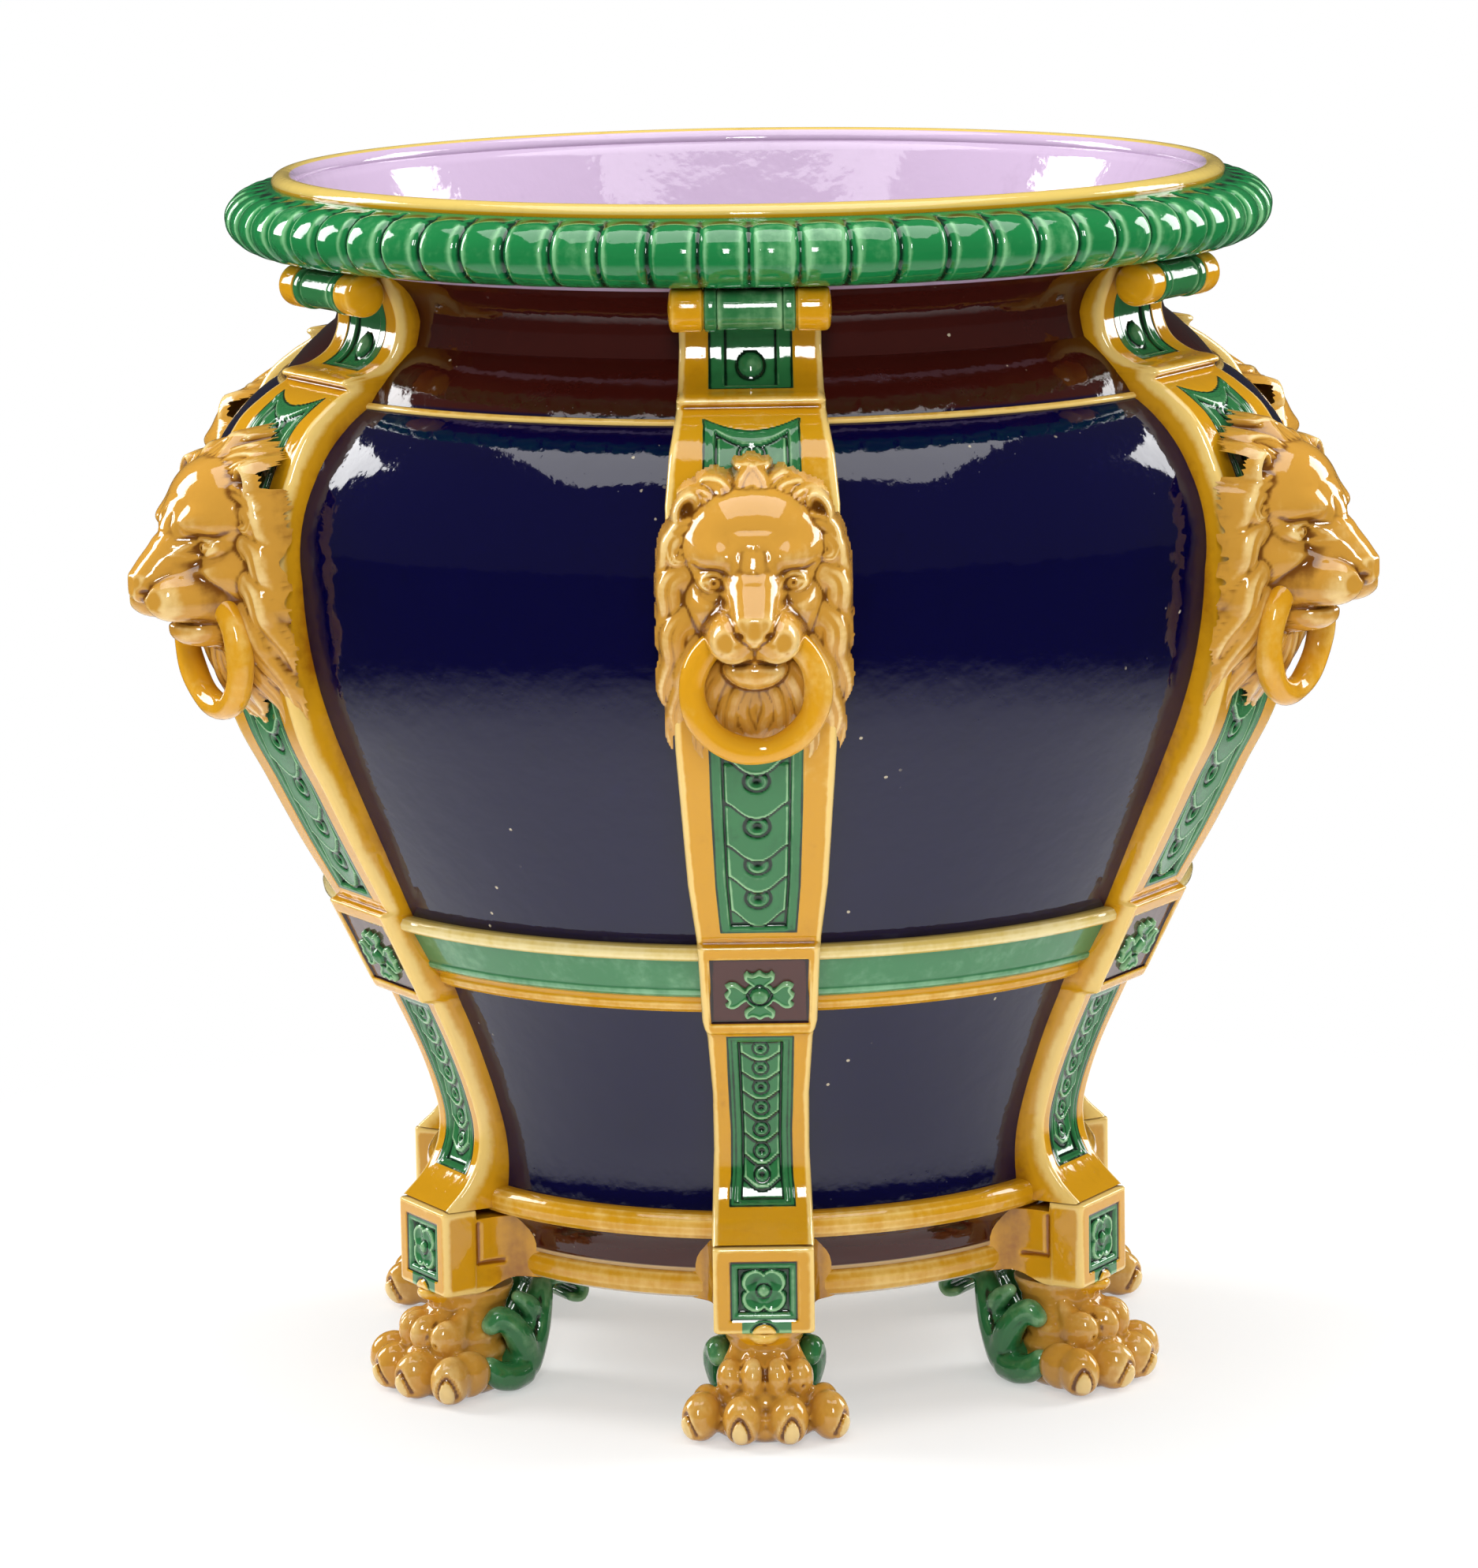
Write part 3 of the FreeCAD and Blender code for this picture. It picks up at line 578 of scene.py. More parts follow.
# ------------------------------------------------------------------ pieces
@dataclass
class Assembly:
    """What every sub-assembly shares: turning clay into finished pieces."""

    shop: GlazeShop

    def piece(self, bm: bmesh.types.BMesh, name: str, node: str, slot: str, material: bpy.types.Material,
              ink: Optional[np.ndarray] = None, fine: float = 0.22, wide: float = 1.1) -> bpy.types.Object:
        """Turns a mesh in millimetres into a piece that stands for a node of the frame.

        Args:
            bm: The mesh, which is used up.
            name: The piece's name.
            node: The node it stands for.
            slot: Not used.
            material: Its finish.
            ink: Extra darkening for each point, partly gathered glaze and partly painted shade.
            fine: Depth of a full hollow near by, in millimetres.
            wide: The same over a wider reach.

        Returns:
            The piece.
        """
        mesh = bpy.data.meshes.new(name)
        bm.to_mesh(mesh)
        bm.free()
        depth = hollows(mesh, fine, wide)
        if ink is not None:
            depth[:len(ink)] += ink
        painted(mesh, "hollow", np.clip(depth, -1, 1))
        mesh.transform(Matrix.Scale(MM, 4))
        for polygon in mesh.polygons:
            polygon.use_smooth = True
        mesh.materials.append(material)
        return self.settled(mesh, name, node)

    def settled(self, mesh: bpy.types.Mesh, name: str, node: str) -> bpy.types.Object:
        """Sets a finished mesh on the frame in place of a node.

        Args:
            mesh: The mesh, in metres.
            name: The piece's name.
            node: The node it stands for.

        Returns:
            The piece.
        """
        made = bpy.data.objects.new(name, mesh)
        bpy.context.scene.collection.objects.link(made)
        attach(made, "root")
        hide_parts(node)
        LOG.info("%s stands for %s with %d points", name, node, len(mesh.vertices))
        return made

    def round_the_pot(self, first: bpy.types.Object, name: str, node: str, slot: str) -> None:
        """Repeats a piece made in the station frame at every station.

        Args:
            first: The piece in the station frame, which becomes the one in front.
            name: The pieces' name, without a number.
            node: The nodes' name, without a number.
            slot: Not used.
        """
        pattern = first.data.copy()
        for index in range(STATIONS):
            mesh = first.data if index == 0 else pattern.copy()
            turn = math.radians(index * 360 / STATIONS - 90)
            mesh.transform(Matrix.Rotation(turn, 4, "Z"))
            if index:
                self.settled(mesh, f"{name}_{index + 1}", f"{node}_{index + 1}")
        bpy.data.meshes.remove(pattern)


def zone_by(bm: bmesh.types.BMesh, rule: Callable[[np.ndarray], np.ndarray]) -> np.ndarray:
    """Works out a mask from the points of a mesh."""
    return rule(np.array([v.co[:] for v in bm.verts]))


def arc_run(start: Sequence[float], middle: Sequence[float], end: Sequence[float], count: int) -> np.ndarray:
    """Points on the arc through three points, without the last.

    Args:
        start: Where it starts.
        middle: A point on it.
        end: Where it ends.
        count: How many points.

    Returns:
        The points.
    """
    a, b, c = (complex(*p) for p in (start, middle, end))
    w = (c - a) / (b - a)
    centre = (b - a) * (w - abs(w) ** 2) / (2j * w.imag) + a
    first, last = (a - centre), (c - centre)
    sweep = np.angle(last / first)
    half = np.angle((b - centre) / first)
    if half * sweep < 0:
        sweep -= math.copysign(math.tau, sweep)
    turn = np.exp(1j * sweep * np.linspace(0, 1, count, endpoint=False))
    points = centre + first * turn
    return np.column_stack([points.real, points.imag])


@dataclass
class Pot(Assembly):
    """The thrown pot with its lip, gadroons and belts."""

    neck_line: float = 412.5
    segments: int = 192
    gadroons: int = 68

    def body(self) -> None:
        """The pot itself: cobalt belly, dark neck and cove, pale inside."""
        outside = [
            np.array([[0.0, 59.5], [60.0, 59.5], [112.0, 59.5]]),
            arc_run((126.0, 59.5), (127.6, 68.5), (133.0, 75.5), 6),
            np.array([[133.0, 75.5], [133.0, 81.0]]),
            arc_run((133.0, 87.0), (132.4, 102.0), (135.2, 118.0), 8),
            arc_run((135.2, 118.0), (144.2, 145.0), (157.5, 173.5), 14),
            arc_run((157.5, 173.5), (166.9, 189.5), (176.0, 204.5), 6),
            arc_run((176.0, 204.5), (193.2, 240.0), (210.0, 277.0), 16),
            arc_run((210.0, 277.0), (221.3, 310.0), (226.3, 345.0), 14),
            arc_run((226.3, 345.0), (218.8, 387.0), (192.0, 412.5), 18),
            arc_run((192.0, 412.5), (175.6, 425.5), (168.8, 444.0), 12),
            arc_run((168.8, 444.0), (174.5, 456.5), (190.0, 464.5), 8),
            np.array([[190.0, 464.5], [190.0, 490.5]]),
        ]
        inside = [
            arc_run((185.5, 490.5), (170.0, 462.0), (159.5, 442.0), 12),
            arc_run((159.5, 442.0), (205.0, 393.0), (216.8, 345.0), 18),
            arc_run((216.8, 345.0), (211.5, 310.0), (200.0, 277.0), 10),
            arc_run((200.0, 277.0), (160.5, 196.0), (124.5, 112.0), 22),
            arc_run((124.5, 112.0), (121.8, 84.0), (112.0, 72.0), 8),
            np.array([[112.0, 72.0], [60.0, 72.0], [0.0, 72.0]]),
        ]
        wall = np.vstack(outside)
        bm = spun(np.vstack([wall, *inside]), self.segments)
        inner = zone_by(bm, lambda p: self._inside(p).astype(float))
        neck = zone_by(bm, lambda p: self._neck(p))
        self._with_zones(bm, "pot_body", "body_shell", "cobalt_glaze",
                         self.shop.finish("cobalt_body", [COBALT, PLUM, LAVENDER, BISCUIT], 0.04, 0.8, 0.08),
                         [neck, inner, zone_by(bm, lambda p: (p[:, 2] < 60.0).astype(float))],
                         fine=EVEN, wide=EVEN)

    @staticmethod
    def _inside(points: np.ndarray) -> np.ndarray:
        """Which points belong to the inside of the wall."""
        r, z = np.hypot(points[:, 0], points[:, 1]), points[:, 2]
        return (r < pot_radius(z) - 3.5) & (z > 70)

    def _neck(self, points: np.ndarray) -> np.ndarray:
        """Which points wear the dark red-brown glaze."""
        z = points[:, 2]
        return ((z > self.neck_line) | ((z < 80.0) & (z > 59.6))).astype(float)

    def _with_zones(self, bm: bmesh.types.BMesh, name: str, node: str, slot: str,
                    material: bpy.types.Material,
                    zones: Sequence[np.ndarray], **depths: float) -> bpy.types.Object:
        """Makes a piece and paints its masks.

        Args:
            bm: The mesh, which is used up.
            name: The piece's name.
            node: The node it stands for.
            slot: Its slot.
            material: Its finish.
            zones: One mask for each further glaze.
            **depths: Depths of a full hollow, as in piece.

        Returns:
            The piece.
        """
        made = self.piece(bm, name, node, slot, material, **depths)
        for zone, values in zip(Zone, zones):
            painted(made.data, zone.value, values)
        return made

    def lip(self) -> None:
        """The rounded yellow lip."""
        profile = drawn_through([(186.2, 489.5), (185.6, 492.0), (187.6, 494.9), (190.6, 496.0),
                                 (193.6, 495.0),
                                 (195.4, 492.6), (194.6, 489.6)], 4)
        bm = spun(profile, self.segments, closed=True)
        low = zone_by(bm, lambda p: step(493.4, 491.2, p[:, 2]) * (np.hypot(p[:, 0], p[:, 1]) > 190))
        inner = zone_by(bm, lambda p: step(188.6, 187.2, np.hypot(p[:, 0], p[:, 1])))
        self._with_zones(bm, "lip", "rim_bead", "yellow_glaze",
                         self.shop.finish("lip_yellow", [CREAM, YELLOW, LAVENDER]), [low, inner],
                         fine=EVEN, wide=EVEN)

    def gadroon_row(self) -> None:
        """The swelling lobes under the lip, pinched apart by dark grooves."""
        levels = drawn_through([(191.0, 491.4), (196.0, 490.8), (204.0, 489.6), (211.0, 485.8),
                                (214.6, 480.2),
                                (214.2, 474.2), (210.0, 468.6), (203.5, 465.2), (196.0, 464.6),
                                (189.5, 464.6)], 4)
        bm = spun(levels, self.gadroons * 14)
        skin = Skin(bm)
        x, y, z = skin.points.T
        r, angle = np.hypot(x, y), np.arctan2(y, x)
        phase = (angle * self.gadroons / math.tau) % 1.0 - 0.5
        edge = 0.5 - np.abs(phase)
        pad = step(0.0, 0.16, edge) * (0.9 + 0.1 * np.cos(phase * math.tau))
        body = step(197.0, 204.0, r) * step(195.0, 201.0, r)
        top = step(0.0, 1.0, (490.3 - z) / 2.6 + 0.35 - 3.2 * phase ** 2)
        groove = (1 - pad) * body
        arch = (1 - top) * step(196.0, 199.0, r) * (z > 480)
        inward = 3.4 * groove + 1.1 * arch
        skin.points[:, 0] -= inward * x / r
        skin.points[:, 1] -= inward * y / r
        skin.points[:, 2] -= 0.6 * arch
        # Painted shade in the grooves, along the arch tops and on the lobes' undersides, with gathered glaze;
        # a painted highlight along each lobe's edge, with thinned glaze.
        lines = bump(edge, 0.035) * body + 0.8 * bump(top - 0.3, 0.25) * step(197.0, 199.5, r) * (z > 484)
        pale = bump(edge - 0.16, 0.045) * body
        ink = 1.1 * lines - 0.5 * pale + 0.35 * step(476.0, 466.0, z) * body
        skin.put_back()
        under = zone_by(bm, lambda p: (np.hypot(p[:, 0], p[:, 1]) < 197.0) * step(480, 470, p[:, 2]))
        material = self.shop.finish("gadroon_green", [EMERALD, PLUM, BISCUIT], 0.06)
        made = self.piece(bm, "gadroons", "gadrooned_rim", "green_glaze", material, ink, 1.6, 9.0)
        painted(made.data, Zone.FIRST.value, under)

    def belt(self, name: str, node: str, slot: str, profile: Line, glazes: Sequence[Glaze],
             bands: Sequence[tuple[float, float]]) -> None:
        """A moulded belt round the pot.

        Args:
            name: The piece's name.
            node: The node it stands for.
            slot: Its slot.
            profile: Points of (radius, z) from the top down, back in the wall at both ends.
            glazes: The ground glaze and those of the bands.
            bands: For each further glaze, its upper and lower z.
        """
        dense = []
        for a, b in zip(profile, profile[1:]):
            count = max(1, int(math.dist(a, b) / 0.7))
            dense.extend((a[0] + (b[0] - a[0]) * i / count,
                          a[1] + (b[1] - a[1]) * i / count) for i in range(count))
        bm = spun(dense + [profile[-1]], 180, closed=True)
        zones = [zone_by(bm, lambda p, t=top, u=low: ((p[:, 2] < t) & (p[:, 2] > u)).astype(float))
                 for top, low in bands]
        self._with_zones(bm, name, node, slot, self.shop.finish(name + "_glaze", glazes), zones, fine=0.5,
                         wide=9.0)

    def build(self) -> None:
        """Builds the pot and its belts."""
        self.body()
        self.lip()
        self.gadroon_row()
        line = self.neck_line
        self.belt("neck_line", "shoulder_fillet", "yellow_glaze",
                  [(188.0, line + 1.0), (193.6, line + 1.0), (194.8, line - 0.2), (194.9, line - 1.0),
                   (193.8, line - 1.8), (188.0, line - 1.8)], [OCHRE], [])
        self.belt("waist_belt", "waist_band", "yellow_glaze",
                  [(168.0, 204.3), (178.6, 204.3), (180.6, 203.6), (181.6, 201.6), (181.2, 199.6),
                   (179.6, 198.4),
                   (176.0, 198.0), (169.0, 185.6), (168.4, 185.0), (168.9, 184.2), (168.3, 182.6),
                   (166.6, 181.4),
                   (164.6, 180.6), (163.6, 179.2), (163.8, 177.6), (162.9, 175.6), (160.6, 174.0),
                   (156.0, 173.8)],
                  [CREAM, BELT_GREEN, OCHRE], [(198.2, 180.8), (180.8, 170.0)])
        self.belt("lower_belt", "lower_band", "ochre_glaze",
                  [(126.0, 86.6), (136.0, 86.6), (138.6, 86.0), (140.4, 84.0), (140.9, 81.2), (140.4, 78.4),
                   (138.6, 76.4), (136.0, 75.8), (126.0, 75.8)], [OCHRE], [])
        self.belt("foot_ring", "base_ring", "ochre_glaze",
                  [(112.0, 59.2), (125.0, 59.2), (126.8, 58.2), (128.0, 55.4), (128.0, 52.2), (126.6, 49.4),
                   (124.0, 48.2), (114.0, 48.2), (112.4, 50.0)], [OCHRE, BISCUIT], [(50.0, 40.0)])


# ------------------------------------------------------------------ pilasters
@dataclass
class Pilaster(Assembly):
    """The strap down each station, with its sunk panels and their ornament."""

    half_widths: Line = ((464.5, 27.4), (440.0, 27.2), (425.0, 27.8), (421.0, 28.4), (418.0, 28.4),
                         (404.0, 31.2),
                         (385.0, 33.0), (345.0, 32.4), (290.0, 30.6), (232.0, 27.0), (205.0, 23.8),
                         (172.0, 22.4),
                         (164.0, 20.6), (138.0, 18.9), (114.0, 18.8), (78.5, 20.2), (70.0, 20.2))
    face: Line = ((184.0, 464.5), (177.5, 450.0), (176.5, 440.0), (180.5, 430.5), (189.0, 425.0),
                  (197.5, 423.4))
    belly: Line = ((199.6, 418.4), (209.0, 412.6), (219.5, 403.5), (227.8, 389.0), (234.0, 372.0),
                   (237.5, 350.0),
                   (236.5, 325.0), (226.5, 285.0), (213.0, 258.0), (199.5, 232.0), (187.0, 209.8))
    shin: Line = ((163.6, 166.0), (152.6, 142.0), (146.0, 124.0), (143.0, 110.0), (144.6, 98.0),
                  (150.5, 88.0),
                  (159.6, 79.2))

    def profile(self) -> np.ndarray:
        """The face of the strap from the rim to the foot block, at even steps of (r, z)."""
        parts = [drawn_through(self.face, 12),
                 drawn_through([(199.8, 422.9), (201.2, 421.9), (201.2, 420.6), (199.6, 419.6),
                                (199.2, 419.0)], 4),
                 drawn_through(self.belly, 14),
                 np.array([[185.4, 207.4], [184.9, 206.8], [186.4, 206.3], [188.2, 205.4], [188.0, 204.4]]),
                 np.linspace((187.0, 202.4), (170.6, 169.4), 32),
                 np.array([[169.9, 168.0], [169.0, 167.2], [165.6, 166.6]]),
                 drawn_through(self.shin, 14)]
        line = np.vstack(parts)
        length = np.concatenate([[0], np.cumsum(np.linalg.norm(np.diff(line, axis=0), axis=1))])
        even = np.linspace(0, length[-1], int(length[-1] / 0.78))
        return np.column_stack([np.interp(even, length, line[:, 0]), np.interp(even, length, line[:, 1])])

    @staticmethod
    def sunk(inside: np.ndarray, depth: float, soft: float = 0.45) -> tuple[np.ndarray, np.ndarray]:
        """A sunk field with soft walls.

        Args:
            inside: Distance in from its edge, below zero outside.
            depth: How deep it lies.
            soft: Half width of the wall.

        Returns:
            The height, and the darkening along the foot of the wall: gathered glaze and painted shade.
        """
        return -depth * step(-soft, soft, inside), bump(inside - 0.55, 0.5)

    def scales(self, y: np.ndarray, s: np.ndarray, inner: np.ndarray, tips: Line, eye: float
               ) -> tuple[np.ndarray, np.ndarray]:
        """Overlapping shield-shaped scales, each with a drilled eye, from the top down.

        Args:
            y: Distance across.
            s: Distance down the face.
            inner: Half width of the field.
            tips: For each scale, (place of its tip, height of its rise, place of its eye).
            eye: Radius of the ring round an eye.

        Returns:
            The height above the sunk field and the gathering of glaze.
        """
        height = np.zeros_like(y)
        ink = np.zeros_like(y)
        across = np.clip(np.abs(y) / np.maximum(inner, 1.0), 0, 1)
        for tip, rise, drill in reversed(list(tips)):
            lower = tip - rise * (0.5 - 0.5 * np.cos(math.pi * across ** 1.2))
            above = lower - s
            side = inner - 0.7 - np.abs(y)
            edge = np.minimum(above, side)
            over = step(-0.1, 0.7, edge) * (s > tip - 2.6 * rise - 4)
            away = np.hypot(y, s - drill)
            body = 0.3 + 1.2 * np.clip(1 - above / (2.4 * rise), 0, 1) + 0.25 * bump(edge - 1.0, 0.7)
            ring = 0.4 * bump(away - eye * 0.66, eye * 0.18) - 0.75 * bump(away - eye, eye * 0.17)
            hole = -1.1 * bump(away, eye * 0.34)
            height = height * (1 - over) + (body + ring + hole) * over
            # The drilled eye and the ring round it are painted darker and the scale's lower edge a little
            # lighter: gathered glaze with painted shade and painted highlight.
            dark = 0.9 * bump(away - eye,
                              eye * 0.16) + 1.1 * bump(away, eye * 0.33) - 0.4 * bump(edge - 0.9, 0.4)
            ink = ink * (1 - over) + dark * over
            # Painted shade in the gap just below each scale's lower edge, where it laps over the next.
            ink += 1.4 * bump(edge + 0.5, 0.8) * (above < 0.3) * (side > -0.4)
        return height, ink

    def relief(self, y: np.ndarray, z: np.ndarray, s: np.ndarray, s_of: Callable[[float], float]
               ) -> tuple[np.ndarray, np.ndarray, np.ndarray, np.ndarray]:
        """The ornament over the whole strap.

        Args:
            y: Distance across for each point.
            z: Height of each point on the plain face.
            s: Distance down the face.
            s_of: Gives the distance down the face for a height.

        Returns:
            Height, darkening (gathered glaze and painted shade), and the green and mauve masks.
        """
        wide = np.abs(y)
        height, ink = np.zeros_like(y), np.zeros_like(y)
        green, mauve = np.zeros_like(y), np.zeros_like(y)

        def field_at(inside: np.ndarray, depth: float) -> None:
            """Sinks a field into the face.

            Args:
                inside: Distance in from the field's edge, below zero outside.
                depth: How deep it lies.
            """
            nonlocal height, ink
            drop, line = self.sunk(inside, depth)
            height = height + drop
            ink = ink + 0.8 * line * (inside > -0.6)

        def belt_between(top: float, low: float) -> np.ndarray:
            """Distance in from the nearer edge of a belt across the face."""
            return np.minimum(s - s_of(top), s_of(low) - s)

        # neck panel
        frame = np.minimum(16.3 - wide, s_of(425.0) - s)
        panel = np.minimum(10.2 - wide, s_of(426.4) - s)
        here = s < s_of(424.4)
        field_at(np.where(here, frame, -9), 0.5)
        field_at(np.where(here, panel, -9), 1.4)
        away = np.hypot(y, s - s_of(433.2))
        dome = np.sqrt(np.clip(1 - (away / 4.9) ** 2, 0, 1))
        height = height + 3.0 * dome * here
        ink = ink + (1.1 * bump(away - 5.4, 0.6) - 0.3 * bump(away, 3.0)) * here
        green = np.maximum(green, step(-0.3, 0.3, frame) * here)

        # belly panel with its scooped top
        top, low = s_of(415.5), s_of(211.4)
        widths = np.interp(-z, [-411, -380, -350, -300, -260, -232, -211],
                           [18.6, 19.4, 19.4, 18.4, 17.6, 16.6, 15.0])
        scoop = s - (top + 7.0 * (1 - np.clip(wide / 18.0, 0, 1) ** 2.0))
        frame = np.minimum(np.minimum(widths - wide, scoop), low - s)
        inner = widths - 4.6 + 0.4 * step(300.0, 215.0, z)
        curve = s - (top + 6.2 + 8.4 * (1 - np.clip(wide / 14.5, 0, 1) ** 2.0))
        panel = np.minimum(np.minimum(inner - wide, curve), low - 2.4 - s)
        here = (s > top - 2) & (s < low + 3)
        field_at(np.where(here, frame, -9), 0.6)
        height = height + 0.45 * bump(frame - 1.0, 0.8) * here + 0.5 * bump(scoop - 4.2,
                                                                            2.2) * (frame > 0.5) * (scoop < 9)
        field_at(np.where(here, panel, -9), 1.5)
        z_tips = [389.0, 370.5, 352.5, 334.5, 316.5, 298.0, 279.5, 260.6, 242.2, 228.5, 213.5]
        z_eyes = [404.5, 386.5, 368.5, 350.5, 332.5, 314.5, 296.0, 276.5, 257.0, 240.6, 225.7]
        tips = [(s_of(a), 8.5, s_of(b)) for a, b in zip(z_tips, z_eyes)]
        raised, dark = self.scales(y, s, inner, tips, 4.9)
        inside = step(0.0, 0.6, panel) * here
        height = height + raised * inside
        ink = ink + dark * inside
        green = np.maximum(green, step(-0.3, 0.3, frame) * here)

        # waist block
        middle = belt_between(200.0, 171.2)
        ground = np.minimum(19.4 - wide, middle)
        field_at(np.where((z < 204) & (z > 168.6), ground, -9), 1.5)
        mauve = np.maximum(mauve, step(-0.2, 0.3, ground) * (z < 204) * (z > 168.6))

        # shin panel
        top, low = s_of(164.6), s_of(91.8)
        widths = np.interp(-z, [-166, -140, -122, -105, -91], [13.6, 12.8, 12.3, 12.5, 13.5])
        frame = np.minimum(np.minimum(widths - wide, s - top), low - s)
        panel = np.minimum(np.minimum(widths - 4.4 - wide, s - top - 3.2), low - 3.0 - s)
        here = (z < 165.8) & (z > 88)
        field_at(np.where(here, frame, -9), 0.5)
        height = height + 0.4 * bump(frame - 1.0, 0.7) * here + 0.3 * bump(frame - 3.2, 0.6) * here
        ink = ink + 0.5 * bump(frame - 2.1, 0.4) * here
        field_at(np.where(here, panel, -9), 1.3)
        eyes = [158.6, 149.8, 141.2, 132.2, 122.8, 113.4, 104.0]
        tips = [(s_of(eye - 5.6), 4.6, s_of(eye)) for eye in eyes]
        raised, dark = self.scales(y, s, widths - 4.4, tips, 3.1)
        inside = step(0.0, 0.5, panel) * here
        height = height + 0.9 * raised * inside
        ink = ink + dark * inside
        green = np.maximum(green, step(-0.3, 0.3, frame) * here)
        return height, ink, green, mauve

    def build(self) -> None:
        """Builds the strap once and sets it at every station."""
        line = self.profile()
        run = np.gradient(line, axis=0)
        run /= np.linalg.norm(run, axis=1)[:, None]
        outward = np.column_stack([-run[:, 1], run[:, 0]])
        for _ in range(3):
            outward[1:-1] = (outward[:-2] + 2 * outward[1:-1] + outward[2:]) / 4
        outward /= np.linalg.norm(outward, axis=1)[:, None]
        down = np.concatenate([[0], np.cumsum(np.linalg.norm(np.diff(line, axis=0), axis=1))])
        z_down = np.minimum.accumulate(line[:, 1])

        def s_of(z: float) -> float:
            """The distance down the face for a height."""
            return float(np.interp(-z, -z_down, down))

        front = np.concatenate([np.linspace(-1, -0.64, 12, endpoint=False), np.linspace(-0.64, 0.64, 76),
                                np.linspace(0.64, 1, 13)[1:]])
        columns = np.concatenate([[-3.0, -2.0, -1.6, -1.3], front, [1.3, 1.6, 2.0, 3.0]])
        rows = np.arange(len(line), dtype=float)
        store: dict[str, np.ndarray] = {}

        def place(u: np.ndarray, row: np.ndarray) -> np.ndarray:
            """Sets the strap's sheet in space and keeps its glaze.

            Args:
                u: Share of the way across, beyond 1 on the side walls.
                row: Which step of the face.

            Returns:
                The points.
            """
            index = np.rint(row).astype(int)
            r, z, s = line[index, 0], line[index, 1], down[index]
            half = np.interp(-z, [-a for a, _ in self.half_widths], [b for _, b in self.half_widths])
            face = np.clip(u, -1, 1)
            y = face * (half - 0.2)
            height, ink, green, mauve = self.relief(y, z, s, s_of)
            corner = np.clip(np.abs(y) - (half - 1.7), 0, 1.5)
            height = height - (1.7 - np.sqrt(np.clip(1.7 ** 2 - corner ** 2, 0, None)))
            x = r + outward[index, 0] * height
            up = z + outward[index, 1] * height
            beyond = np.clip(np.abs(u) - 1, 0, 2)
            wall = np.maximum(pot_radius(z) - 9.0, 118.0)
            deep = np.clip(np.interp(beyond, [0, 0.3, 0.6, 1.0, 2.0], [0.0, 0.12, 0.4, 0.7, 1.0]), 0, 1)
            x = x + (np.minimum(wall, r - 3) - x) * deep
            y = np.sign(u) * np.where(beyond > 0, half + 0.35 * bump(beyond - 0.6, 0.6), np.abs(y))
            # Painted shade on the side walls as they run back into the pot, and a painted highlight along the
            # face's rounded edges.
            ink = np.where(beyond > 0, 0.7 * step(0.1, 0.6, deep),
                           ink - 0.45 * bump(half - 1.2 - np.abs(y), 0.9))
            store.update(ink=ink, green=np.where(beyond > 0, 0, green), mauve=np.where(beyond > 0, 0, mauve))
            return np.column_stack([x, y, up])

        bm = sheet(columns, rows, place)
        bmesh.ops.recalc_face_normals(bm, faces=bm.faces)
        middle = next(f for f in bm.faces if abs(f.calc_center_median().y)
                      < 1 and abs(f.calc_center_median().z - 350) < 3)
        if middle.normal.x < 0:
            bmesh.ops.reverse_faces(bm, faces=bm.faces)
        material = self.shop.finish("pilaster_glaze", [OCHRE, LEAF, MAUVE])
        made = self.piece(bm, "pilaster_strap_1", "pilaster_1", "ochre_glaze", material, store["ink"], 0.35,
                          7.0)
        painted(made.data, Zone.FIRST.value, store["green"])
        painted(made.data, Zone.SECOND.value, store["mauve"])
        self.round_the_pot(made, "pilaster_strap", "pilaster", "ochre_glaze")


@dataclass
class TopScroll(Assembly):
    """The bolster across the head of each pilaster."""

    centre: tuple[float, float] = (192.0, 455.8)
    half: float = 31.5

    def build(self) -> None:
        """Turns the bolster and sets it at every station."""
        side = [(8.0, 0.0), (8.0, 6.0), (7.9, 11.8), (7.1, 12.5), (8.4, 13.0), (8.7, 13.8), (8.7, 16.4),
                (8.4, 17.2),
                (7.2, 17.8), (8.3, 18.5), (8.6, 19.6), (8.7, 24.0), (8.6, 28.8), (8.0, 30.2), (6.6, 30.9),
                (4.4, 31.3), (2.0, 31.5), (0.0, 31.5)]
        half = drawn_through(side, 3)
        profile = np.vstack([half[::-1] * [1, -1], half[1:]])
        bm = spun(profile, 72, axis="Y")
        width = zone_by(bm, lambda p: np.abs(p[:, 1]))
        bmesh.ops.translate(bm, verts=bm.verts, vec=(self.centre[0], 0, self.centre[1]))
        made = self.piece(bm, "bolster_1", "scroll_roll_1", "ochre_glaze",
                          self.shop.finish("bolster_glaze", [YELLOW, LEAF]), None, 0.35, 5.0)
        painted(made.data, Zone.FIRST.value, step(18.0, 17.4, width))
        self.round_the_pot(made, "bolster", "scroll_roll", "ochre_glaze")


